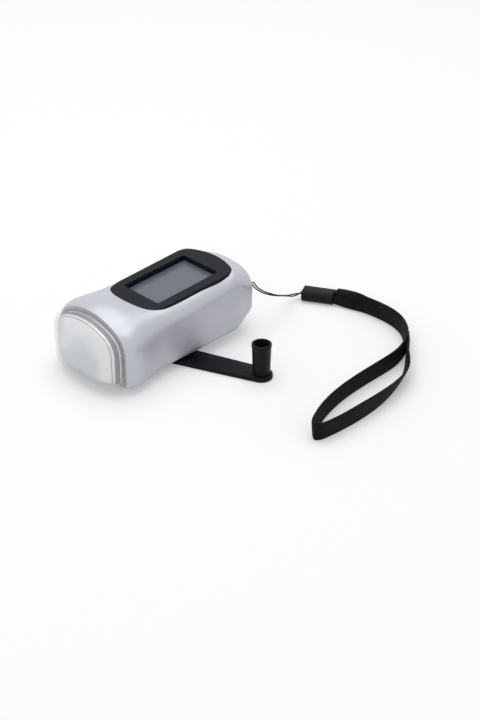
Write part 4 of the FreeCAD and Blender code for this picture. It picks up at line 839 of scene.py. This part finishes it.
def sweep(line: Sequence[Vector], keep: Direction, sides: int,
          shape: Callable[[float, float], tuple[float, float]],
          cloth: Callable[[float, float, float, float], Point]) -> bmesh.types.BMesh:
    """Carries a closed section along a line.

    Args:
        line: the points that it follows.
        keep: how the section is kept level.
        sides: corners of the section.
        shape: gives across and up for a distance along the line and a turn round the section.
        cloth: gives the cloth attribute for across, up, turn and distance along.

    Returns:
        The closed body.
    """
    bm = bmesh.new()
    cloth_layer = bm.verts.layers.float_vector.new("cloth")
    turn_layer = bm.verts.layers.float.new("turn")
    ring = bmesh.ops.create_circle(bm, segments=sides, radius=1.0)["verts"]
    for vertex in ring:
        vertex[turn_layer] = math.atan2(vertex.co.y, vertex.co.x)
    edges = list(bm.edges)
    first_edges = list(edges)
    for index, (point, along, (across_way, up_way)) in enumerate(
            zip(line, travel(line), frames_along(line, keep))):
        if index:
            grown = bmesh.ops.extrude_edge_only(bm, edges=edges)["geom"]
            ring = [item for item in grown if isinstance(item, bmesh.types.BMVert)]
            fresh = set(ring)
            edges = [item for item in grown if isinstance(item, bmesh.types.BMEdge) and fresh >= set(item.verts)]
        for vertex in ring:
            across, up = shape(along, vertex[turn_layer])
            vertex.co = point + across_way * across + up_way * up
            vertex[cloth_layer] = cloth(across, up, vertex[turn_layer], along)
    for rim in (first_edges, edges):
        bmesh.ops.contextual_create(bm, geom=rim)
    return bm


def dress(finish: Finish, names: Iterable[str]) -> None:
    """Gives carried-over nodes a finish.

    Args:
        finish: the finish.
        names: names of the nodes.
    """
    for name in names:
        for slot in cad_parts[name].material_slots:
            slot.material = finish.material()
        LOG.info("%s: %s", name, finish.name)


# Sub-assemblies


@dataclass
class WristStrap:
    """String, ferrule, sewn webbing and open loop. Routes are given in millimetres, as they lie at rest."""

    string_points: Sequence[Point] = (
        (-55.8, 14.5, 23.6), (-56.1, 15.9, 21.5), (-56.9, 18.6, 20.2), (-57.4, 21.6, 19.9), (-58.4, 24.6, 19.8),
        (-61.0, 26.0, 18.8), (-66.0, 23.6, 15.9), (-72.6, 19.2, 11.7), (-79.3, 15.0, 7.5), (-85.0, 12.4, 4.2),
        (-90.2, 12.0, 3.15))
    spacing: Sequence[float] = (1.0, 0.8, 0.75, 0.75, 0.75, 0.8, 0.9, 1.0, 1.1, 1.1, 0.9)
    bar_turn: Sequence[Point] = ((-51.8, 15.4, 23.9), (-51.8, 13.2, 23.9))
    string_diameter: float = 0.7 * MM
    ferrule_start: Point = (-94.0, 13.5, 3.15)
    ferrule_end: Point = (-102.3, 27.8, 3.15)
    nose_length: float = 1.2
    ferrule_half_width: float = 4.85 * MM
    ferrule_height: float = 6.3 * MM
    ferrule_round: float = 2.7 * MM
    sewn_points: Sequence[tuple[float, float]] = (
        (-102.3, 27.8), (-103.4, 35.8), (-105.6, 44.6), (-106.6, 54.2), (-106.4, 64.0), (-103.6, 73.6),
        (-97.4, 81.8), (-90.4, 88.4))
    loop_points: Sequence[tuple[float, float]] = (
        (-89.8, 88.1), (-82.4, 91.6), (-72.6, 93.4), (-61.0, 93.9), (-48.6, 94.6), (-36.4, 96.0), (-25.0, 98.6),
        (-15.0, 102.2), (-7.0, 106.2), (-3.4, 108.4), (-2.4, 110.4), (-4.6, 112.0), (-9.0, 112.6),
        (-18.0, 113.2), (-30.0, 113.1), (-43.0, 111.8), (-55.4, 108.8), (-66.8, 104.4), (-77.0, 98.8),
        (-85.6, 92.4), (-90.6, 89.0))
    webbing_width: float = 9.5 * MM
    layer: float = 1.2 * MM
    gather_length: float = 18.0 * MM
    lean_length: float = 0.30
    lean_start: float = 50.0
    string_length: float = 117.6 * MM
    sewn_length: float = 66.3 * MM
    loop_length: float = 186.2 * MM
    body: str = "lamp"

    def ferrule_axis(self) -> Vector:
        """Direction from the string's end of the ferrule to the webbing's."""
        return (Vector(self.ferrule_end) - Vector(self.ferrule_start)).normalized()

    def strand(self, side: int) -> list[Vector]:
        """One strand of the string, in millimetres.

        Args:
            side: 1 or -1, the side of the route that it runs on.

        Returns:
            Its control points from the tail to the ferrule.
        """
        line = [Vector(point) for point in self.string_points]
        moved = []
        for index, point in enumerate(line):
            along = line[min(index + 1, len(line) - 1)] - line[max(index - 1, 0)]
            across = Vector((-along.y, along.x, 0.0)).normalized()
            moved.append(point + across * (side * self.spacing[index]))
        return moved

    def build_string(self) -> bpy.types.Object:
        """The string, out of the ferrule's nose, round the lanyard bar and back.


        Returns:
            The string.
        """
        axis = self.ferrule_axis()
        nose = Vector(self.ferrule_start) - axis * self.nose_length
        across = Vector((-axis.y, axis.x, 0.0)) * 0.75
        points = [nose + across, *self.strand(-1)[::-1], *(Vector(p) for p in self.bar_turn),
                  *self.strand(1), nose - across]
        line = Route("string_route", [tuple(p * MM) for p in points]).line()
        radius = self.string_diameter / 2

        def section(along: float, turn: float) -> tuple[float, float]:
            """A round section."""
            return radius * math.cos(turn), radius * math.sin(turn)

        def cloth(across: float, up: float, turn: float, along: float) -> Point:
            """Turn round the string and distance along it."""
            return math.cos(2 * turn), math.sin(2 * turn), along

        bm = sweep(line, Direction.ROLLING, 12, section, cloth)
        made = settle("string_loop", bm, STRING, 60.0)
        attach(made, self.body)
        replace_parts(made, "strap_string")
        tuple(line[0])
        [tuple(p) for p in line]
        return made

    def build_ferrule(self) -> bpy.types.Object:
        """The flat oval ferrule with a collar and a short nose."""
        start, end = Vector(self.ferrule_start) * MM, Vector(self.ferrule_end) * MM
        length = (end - start).length
        bm = bmesh.new()
        bmesh.ops.create_cube(bm, size=1.0)
        bmesh.ops.scale(bm, verts=bm.verts, vec=(length, 2 * self.ferrule_half_width, self.ferrule_height))
        bmesh.ops.translate(bm, verts=bm.verts, vec=(length / 2, 0, self.ferrule_height / 2))
        long_edges = [edge for edge in bm.edges if abs((edge.verts[0].co - edge.verts[1].co).x) > 0.5 * length]
        round_edges(bm, long_edges, self.ferrule_round, 8)
        ends = [face for face in bm.faces if abs(face.normal.x) > 0.9]
        bmesh.ops.inset_region(bm, faces=ends, thickness=0.35 * MM, depth=0.25 * MM)
        ends = [face for face in bm.faces if abs(face.normal.x) > 0.9]
        bmesh.ops.inset_region(bm, faces=ends, thickness=0.5 * MM, depth=0.0)
        ends = [face for face in bm.faces if abs(face.normal.x) > 0.9 and len(face.verts) > 8]
        bmesh.ops.inset_region(bm, faces=ends, thickness=0.15 * MM, depth=-0.5 * MM)
        middle = Vector((0, 0, self.ferrule_height / 2))
        turned(bm, ((0.0, 0.6 * MM), (1.5 * MM, 0.6 * MM), (1.6 * MM, -0.3 * MM), (1.45 * MM, -0.95 * MM),
                    (1.1 * MM, -1.2 * MM), (0.9 * MM, -1.2 * MM), (0.75 * MM, -0.7 * MM), (0.0, -0.7 * MM)),
               middle, Vector((1, 0, 0)), Vector((0, 1, 0)), 24)
        axis = self.ferrule_axis()
        turn = Matrix.Rotation(math.atan2(axis.y, axis.x), 4, "Z")
        bmesh.ops.transform(bm, matrix=Matrix.Translation(Vector((start.x, start.y, 0))) @ turn, verts=bm.verts)
        made = settle("string_ferrule", bm, FERRULE)
        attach(made, self.body)
        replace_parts(made, "strap_ferrule")
        return made

    def band(self, name: str, plan: Sequence[tuple[float, float]], thickness: float, gathered: bool,
             lean: Callable[[float], float], hinge: float = 0.0) -> tuple[bpy.types.Object, list[Vector]]:
        """A length of webbing that stands on its edge.

        Args:
            name: name of the piece.
            plan: its route in plan, in millimetres.
            thickness: how thick it is.
            gathered: whether its start is drawn together for the ferrule.
            lean: degrees that it leans for a distance along it from 0 to 1.
            hinge: what it leans about, from its middle at 0 to its lower edge at 1.

        Returns:
            The webbing and the line that its middle follows.
        """
        half = self.webbing_width / 2
        line = Route(name + "_route", [(x * MM, y * MM, half) for x, y in plan]).line()
        full = travel(line)[-1]
        mouth = 0.87 * half

        def section(along: float, turn: float) -> tuple[float, float]:
            """A flat section with rounded edges, drawn together at a gathered start."""
            open_now = min(1.0, along / self.gather_length) if gathered else 1.0
            open_now = open_now * open_now * (3 - 2 * open_now)
            tall = mouth + (half - mouth) * open_now
            thick = thickness / 2 * (1.0 + 0.55 * (1 - open_now))
            cosine, sine = math.cos(turn), math.sin(turn)
            across = math.copysign(abs(cosine) ** 0.45, cosine) * thick
            up = math.copysign(abs(sine) ** 0.8, sine) * tall
            crease = max(0.0, 1.0 - along / (1.6 * self.gather_length)) if gathered else 0.0
            fold = 0.55 * MM * crease * math.sin(7.0 * up / half + 0.4 + 60.0 * along)
            tilt = math.radians(lean(along / full))
            height = (up + tall) * math.cos(tilt) + abs(thick * math.sin(tilt))
            return across + fold + (up + hinge * tall) * math.sin(tilt), height - half

        def cloth(across: float, up: float, turn: float, along: float) -> Point:
            """Across, height and distance along."""
            return across, up, along

        bm = sweep(line, Direction.UPRIGHT, 40, section, cloth)
        made = settle(name, bm, WEB, 60.0)
        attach(made, self.body)
        return made, line

    def build_stitches(self, line: Sequence[Vector]) -> bpy.types.Object:
        """Rows of stitches through the sewn part.

        Args:
            line: the line that the sewn part follows.

        Returns:
            The stitches.
        """
        bm = bmesh.new()
        marks = travel(line)
        frames = frames_along(line, Direction.UPRIGHT)
        pitch = 2.2 * MM
        start = self.gather_length
        for row in range(int((marks[-1] - start - 2 * MM) / pitch)):
            along = start + row * pitch
            index = next(i for i, mark in enumerate(marks) if mark >= along)
            across, up = frames[index]
            heading = across.cross(up)
            for side in (1, -1):
                for height in (-3.4 * MM, 3.4 * MM):
                    spot = line[index] + across * (side * (self.layer + 0.03 * MM)) + up * height
                    basis = Matrix((heading, up, across * side)).transposed().to_4x4()
                    size = Matrix.Diagonal((0.75 * MM, 0.16 * MM, 0.13 * MM, 1.0))
                    bmesh.ops.create_icosphere(bm, subdivisions=1, radius=1.0,
                                               matrix=Matrix.Translation(spot) @ basis @ size)
        made = settle("strap_stitches", bm, THREAD, 80.0)
        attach(made, self.body)
        return made

    @staticmethod
    def loop_lean(part: float) -> float:
        """How the open loop leans.

        Args:
            part: place along the loop, from 0 to 1.

        Returns:
            Degrees; the strand that comes back leans outward before it reaches the sewn part.
        """
        rise = min(1.0, max(0.0, (part - 0.60) / 0.28))
        fall = min(1.0, max(0.0, (0.975 - part) / 0.14))
        outward = 25.0 * rise * rise * (3 - 2 * rise) * fall * fall * (3 - 2 * fall)
        return 5.0 * math.sin(math.pi * part) * math.sin(9.0 * part) * (1.0 - rise) - outward

    def build(self) -> None:
        """All four pieces and the stitches."""
        ferrule = self.build_ferrule()
        self.build_string()
        sewn, sewn_line = self.band("sewn_webbing", self.sewn_points, 2 * self.layer, True,
                                    lambda part: self.lean_start * max(0.0, 1.0 - part / self.lean_length) ** 1.2)
        stitches = self.build_stitches(sewn_line)
        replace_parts(sewn, "strap_sewn")
        tuple(sewn_line[0])
        [tuple(p) for p in sewn_line]
        loop, loop_line = self.band("loop_webbing", self.loop_points, self.layer, False, self.loop_lean,
                                    1.0)
        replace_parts(loop, "strap_loop")
        tuple(loop_line[0])
        [tuple(p) for p in loop_line]


@dataclass
class Crank:
    """Arm and knob of the winding crank; the hub is carried over."""

    degrees: float = 112.2
    reach: float = 59.7 * MM
    root_half: float = 7.25 * MM
    tip_half: float = 5.5 * MM
    thickness: float = 2.3 * MM
    hinge_back: float = 8.0 * MM
    hinge_height: float = 1.5 * MM
    pin_radius: float = 0.8 * MM
    edge: float = 0.35 * MM
    knob_gap: float = 0.3 * MM
    knob_profile: Sequence[tuple[float, float]] = (
        (1.65, 0.0), (4.25, 0.0), (4.65, 14.1), (4.85, 14.6), (4.85, 16.1), (3.75, 16.1), (3.75, 2.6), (1.65, 2.6),
        (1.65, 0.0))

    def to_row(self) -> Matrix:
        """Turn from the arm's own frame, whose X runs to the knob."""
        return Matrix.Rotation(math.radians(self.degrees), 4, "Z")

    def build_arm(self) -> bpy.types.Object:
        """The flat tapered arm with a round tip and its hinge barrel."""
        bm = bmesh.new()
        outline = [bm.verts.new((x, y, 0.0)) for x, y in (
            (-self.hinge_back, -self.root_half), (0.0, -self.root_half), (self.reach + self.tip_half, -self.tip_half),
            (self.reach + self.tip_half, self.tip_half), (0.0, self.root_half), (-self.hinge_back, self.root_half))]
        bm.faces.new(outline)
        bmesh.ops.bevel(bm, geom=outline[2:4], offset=self.tip_half * 0.995, segments=14, profile=0.5,
                        affect="VERTICES", material=-1, clamp_overlap=True)
        plate = bmesh.ops.extrude_face_region(bm, geom=list(bm.faces))["geom"]
        bmesh.ops.translate(bm, verts=[item for item in plate if isinstance(item, bmesh.types.BMVert)],
                            vec=(0, 0, self.thickness))
        bmesh.ops.recalc_face_normals(bm, faces=bm.faces)
        round_edges(bm, [edge for edge in corners(bm, 60.0)
                         if abs(edge.verts[0].co.z - edge.verts[1].co.z) < 0.1 * MM], self.edge)
        turned(bm, ((self.pin_radius, 0.0), (self.hinge_height, 0.0), (self.hinge_height, 2 * self.root_half),
                    (self.pin_radius, 2 * self.root_half), (self.pin_radius, 0.0)),
               Vector((-self.hinge_back, -self.root_half, self.hinge_height)), Vector((0, 1, 0)),
               Vector((1, 0, 0)), 32)
        bmesh.ops.transform(bm, matrix=self.to_row(), verts=bm.verts)
        made = settle("crank_arm_plate", bm, ARM_PLASTIC)
        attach(made, "arm")
        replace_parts(made, "crank_arm")
        return made

    def build_knob(self) -> bpy.types.Object:
        """The open knob with its rim."""
        bm = bmesh.new()
        centre = self.to_row() @ Vector((self.reach, 0.0, self.thickness + self.knob_gap))
        turned(bm, [(radius * MM, height * MM) for radius, height in self.knob_profile], centre,
               Vector((0, 0, 1)), Vector((1, 0, 0)), 72)
        bmesh.ops.remove_doubles(bm, verts=bm.verts, dist=0.001 * MM)
        bmesh.ops.recalc_face_normals(bm, faces=bm.faces)
        round_edges(bm, corners(bm, 60.0), 0.28 * MM)
        made = settle("crank_knob", bm, ARM_PLASTIC)
        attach(made, "knob")
        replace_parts(made, "knob_sleeve")
        return made

    def build(self) -> None:
        """Arm and knob."""
        self.build_arm()
        self.build_knob()


@dataclass
class SwitchButton:
    """Push button in the far side."""

    x: float = -14.0 * MM
    height: float = 22.0 * MM
    length: float = 11.6 * MM
    width: float = 5.6 * MM
    face: float = -24.3 * MM
    back: float = -20.0 * MM
    crown: float = 0.35 * MM
    ridge_pitch: float = 1.7 * MM

    def build(self) -> bpy.types.Object:
        """The button's cap with a rounded edge and three grip ridges."""
        bm = bmesh.new()
        sides = 48
        ring = bmesh.ops.create_circle(bm, cap_ends=True, segments=sides, radius=self.width / 2,
                                       matrix=Matrix.Rotation(math.pi / sides, 4, "Z"))["verts"]
        reach = (self.length - self.width) / 2
        for vertex in ring:
            vertex.co.x += math.copysign(reach, vertex.co.x)
        cap = bmesh.ops.extrude_face_region(bm, geom=list(bm.faces))["geom"]
        top = [item for item in cap if isinstance(item, bmesh.types.BMVert)]
        bmesh.ops.translate(bm, verts=top, vec=(0, 0, self.back - self.face))
        bmesh.ops.recalc_face_normals(bm, faces=bm.faces)
        fresh = set(top)
        round_edges(bm, [edge for edge in bm.edges if fresh >= set(edge.verts)], 0.5 * MM, 4)
        for index in (-1, 0, 1):
            spot = Vector((index * self.ridge_pitch, 0.0, self.back - self.face - 0.02 * MM))
            size = Matrix.Diagonal((0.32 * MM, 1.5 * MM, 0.22 * MM, 1.0))
            bmesh.ops.create_uvsphere(bm, u_segments=16, v_segments=10, radius=1.0,
                                      matrix=Matrix.Translation(spot) @ size)
        stand = Matrix.Translation(Vector((self.x, self.back, self.height))) @ Matrix.Rotation(math.pi / 2, 4, "X")
        bmesh.ops.transform(bm, matrix=stand, verts=bm.verts)
        made = settle("button_cap", bm, RUBBER)
        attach(made, "button")
        return made


@dataclass
class LampHead:
    """Cups and leads inside the three lamp diodes."""

    board_front: float = 19.8 * MM
    pitch: float = 14.2 * MM
    height: float = 18.9 * MM

    def build(self) -> bpy.types.Object:
        """A cup on a lead frame in each diode."""
        bm = bmesh.new()
        for index in (-1, 0, 1):
            middle = Vector((self.board_front + 0.2 * MM, index * self.pitch, self.height))
            turned(bm, ((0.0, 3.0 * MM), (0.45 * MM, 3.0 * MM), (0.95 * MM, 3.9 * MM), (1.1 * MM, 3.9 * MM),
                        (0.7 * MM, 2.4 * MM), (0.3 * MM, 2.2 * MM), (0.3 * MM, 0.0), (0.0, 0.0)),
                   middle, Vector((1, 0, 0)), Vector((0, 1, 0)), 20)
            turned(bm, ((0.0, 3.6 * MM), (0.22 * MM, 3.5 * MM), (0.25 * MM, 0.0), (0.0, 0.0)),
                   middle + Vector((0, 1.5 * MM, 0)), Vector((1, 0, 0)), Vector((0, 1, 0)), 10)
        made = settle("diode_frames", bm, NICKEL)
        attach(made, "lamp")
        return made


@dataclass
class LensLining:
    """What shows through the lens, on a thin shell inside it: a bright edge, a dark band of painted shade, a bright
    bowl with patches of painted grey shade and a thin dark line of painted shade round it.
    """

    front: float = 35.3 * MM
    root: float = 36.1 * MM
    # Spans along X of the dark bands of painted shade.
    painted_shade_bands: Sequence[tuple[float, float]] = ((36.7 * MM, 38.9 * MM), (39.9 * MM, 40.15 * MM))
    centre: Point = (30.3 * MM, 0.0, 19.0 * MM)
    shrink: Point = (0.875, 0.918, 0.885)
    wall: float = 0.25 * MM

    def build(self) -> bpy.types.Object:
        """A thin shell that follows the inside of the lens."""
        bm = bmesh.new()
        bm.from_mesh(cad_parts["lens"].data)
        bmesh.ops.remove_doubles(bm, verts=bm.verts, dist=0.002 * MM)
        middle = Vector(self.centre)
        inner = [face for face in bm.faces
                 if face.calc_center_median().x < self.front + 0.02 * MM
                 or face.normal.dot(face.calc_center_median() - middle) < 0.0]
        bmesh.ops.delete(bm, geom=inner, context="FACES")
        shrink = Matrix.Translation(middle) @ Matrix.Diagonal((*self.shrink, 1.0)) @ Matrix.Translation(-middle)
        bmesh.ops.transform(bm, matrix=shrink, verts=bm.verts)
        for cut_at in (self.root, *(edge for band in self.painted_shade_bands for edge in band)):
            geometry = list(bm.verts) + list(bm.edges) + list(bm.faces)
            bmesh.ops.bisect_plane(bm, geom=geometry, plane_co=(cut_at, 0.0, 0.0), plane_no=(1.0, 0.0, 0.0),
                                   clear_inner=cut_at == self.root)
        bmesh.ops.recalc_face_normals(bm, faces=bm.faces)
        bmesh.ops.solidify(bm, geom=list(bm.faces), thickness=self.wall)
        for face in bm.faces:
            x = face.calc_center_median().x
            # Faces in the bands of painted shade take the second, dark material.
            face.material_index = int(any(start < x < end for start, end in self.painted_shade_bands))
        made = settle("lens_lining_with_painted_shade", bm, SATIN, 60.0)
        made.data.materials.append(PAINTED_SHADE_RIM.material())
        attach(made, "lamp")
        return made


# Studio


@dataclass
class Studio:
    """Pale floor, soft lamps, a white surround and the camera."""

    camera_place: Point = (0.37782, 0.46416, 0.35281)
    camera_right: Point = (-0.7269, 0.6867, 0.0)
    camera_up: Point = (-0.3533, -0.3740, 0.8575)
    lens: float = 70.0
    floor_half: float = 4.0
    floor_colour: Colour = (0.90, 0.90, 0.90)
    glow: float = 0.24
    ambient: float = 0.46

    def build_camera(self) -> None:
        """The camera at the photograph's place."""
        data = bpy.data.cameras.new("photo_camera")
        data.lens = self.lens
        data.sensor_width = 36.0
        data.clip_start = 0.01
        made = bpy.data.objects.new("photo_camera", data)
        right, up = Vector(self.camera_right).normalized(), Vector(self.camera_up).normalized()
        back = right.cross(up)
        turn = Matrix((right, up, back)).transposed().to_4x4()
        made.matrix_world = Matrix.Translation(Vector(self.camera_place)) @ turn
        bpy.context.scene.collection.objects.link(made)
        bpy.context.scene.camera = made

    @staticmethod
    def seen(wiring: Wiring) -> bpy.types.NodeSocket:
        """1 for camera, glossy and transmitted rays, and 0 for the rest."""
        path = wiring.add("LightPath").outputs
        found = wiring.math("MAXIMUM", path["Is Camera Ray"], path["Is Glossy Ray"])
        return wiring.math("MAXIMUM", found, path["Is Transmission Ray"])

    def build_floor(self) -> None:
        """The floor, which glows a little to the camera so that it reads white and keeps its shadows."""
        bm = bmesh.new()
        bmesh.ops.create_grid(bm, x_segments=1, y_segments=1, size=self.floor_half)
        mesh = bpy.data.meshes.new("floor")
        bm.to_mesh(mesh)
        bm.free()
        material = bpy.data.materials.new("floor")
        material.use_nodes = True
        wiring = Wiring(material.node_tree)
        shader = material.node_tree.nodes["Principled BSDF"].inputs
        shader["Base Color"].default_value = (*self.floor_colour, 1.0)
        shader["Roughness"].default_value = 0.7
        shader["Specular IOR Level"].default_value = 0.2
        shader["Emission Color"].default_value = (1.0, 1.0, 1.0, 1.0)
        wiring.feed(shader["Emission Strength"], wiring.math("MULTIPLY", self.seen(wiring), self.glow))
        mesh.materials.append(material)
        made = bpy.data.objects.new("floor", mesh)
        bpy.context.scene.collection.objects.link(made)

    def build_surround(self) -> None:
        """A white surround whose light on the object is softer than it looks."""
        world = bpy.data.worlds.new("surround")
        world.use_nodes = True
        wiring = Wiring(world.node_tree)
        back = world.node_tree.nodes["Background"].inputs
        back["Color"].default_value = (1.0, 1.0, 1.0, 1.0)
        wiring.feed(back["Strength"], wiring.ramp(self.seen(wiring), 0.0, 1.0, self.ambient, 1.0))
        bpy.context.scene.world = world

    @staticmethod
    def lamp(name: str, place: Point, aim: Point, size: float, power: float) -> None:
        """A square soft lamp.

        Args:
            name: name of the lamp.
            place: where it hangs.
            aim: point that it faces.
            size: length of its side.
            power: watts.
        """
        data = bpy.data.lights.new(name, "AREA")
        data.shape = "SQUARE"
        data.size = size
        data.energy = power
        made = bpy.data.objects.new(name, data)
        made.location = place
        made.rotation_mode = "QUATERNION"
        made.rotation_quaternion = (Vector(aim) - Vector(place)).to_track_quat("-Z", "Y")
        bpy.context.scene.collection.objects.link(made)

    def build(self) -> None:
        """Everything round the object."""
        bpy.context.scene.view_settings.view_transform = "Standard"
        self.build_floor()
        self.build_surround()
        self.lamp("overhead", (-0.15, -0.2, 1.3), (0.0, 0.0, 0.0), 1.4, 8.0)
        self.lamp("side_fill", (1.0, 0.4, 0.9), (0.0, 0.03, 0.02), 0.9, 1.2)


def main() -> None:
    """Builds the camera, the strap and the other pieces."""
    logging.basicConfig(level=logging.INFO, format="%(message)s")
    studio = Studio()
    studio.build_camera()
    WristStrap().build()
    for finish, names in CARRIED_OVER.items():
        dress(finish, names)
    Crank().build()
    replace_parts(SwitchButton().build(), "switch_button")
    LampHead().build()
    LensLining().build()
    studio.build()


if __name__ == "__main__":
    main()
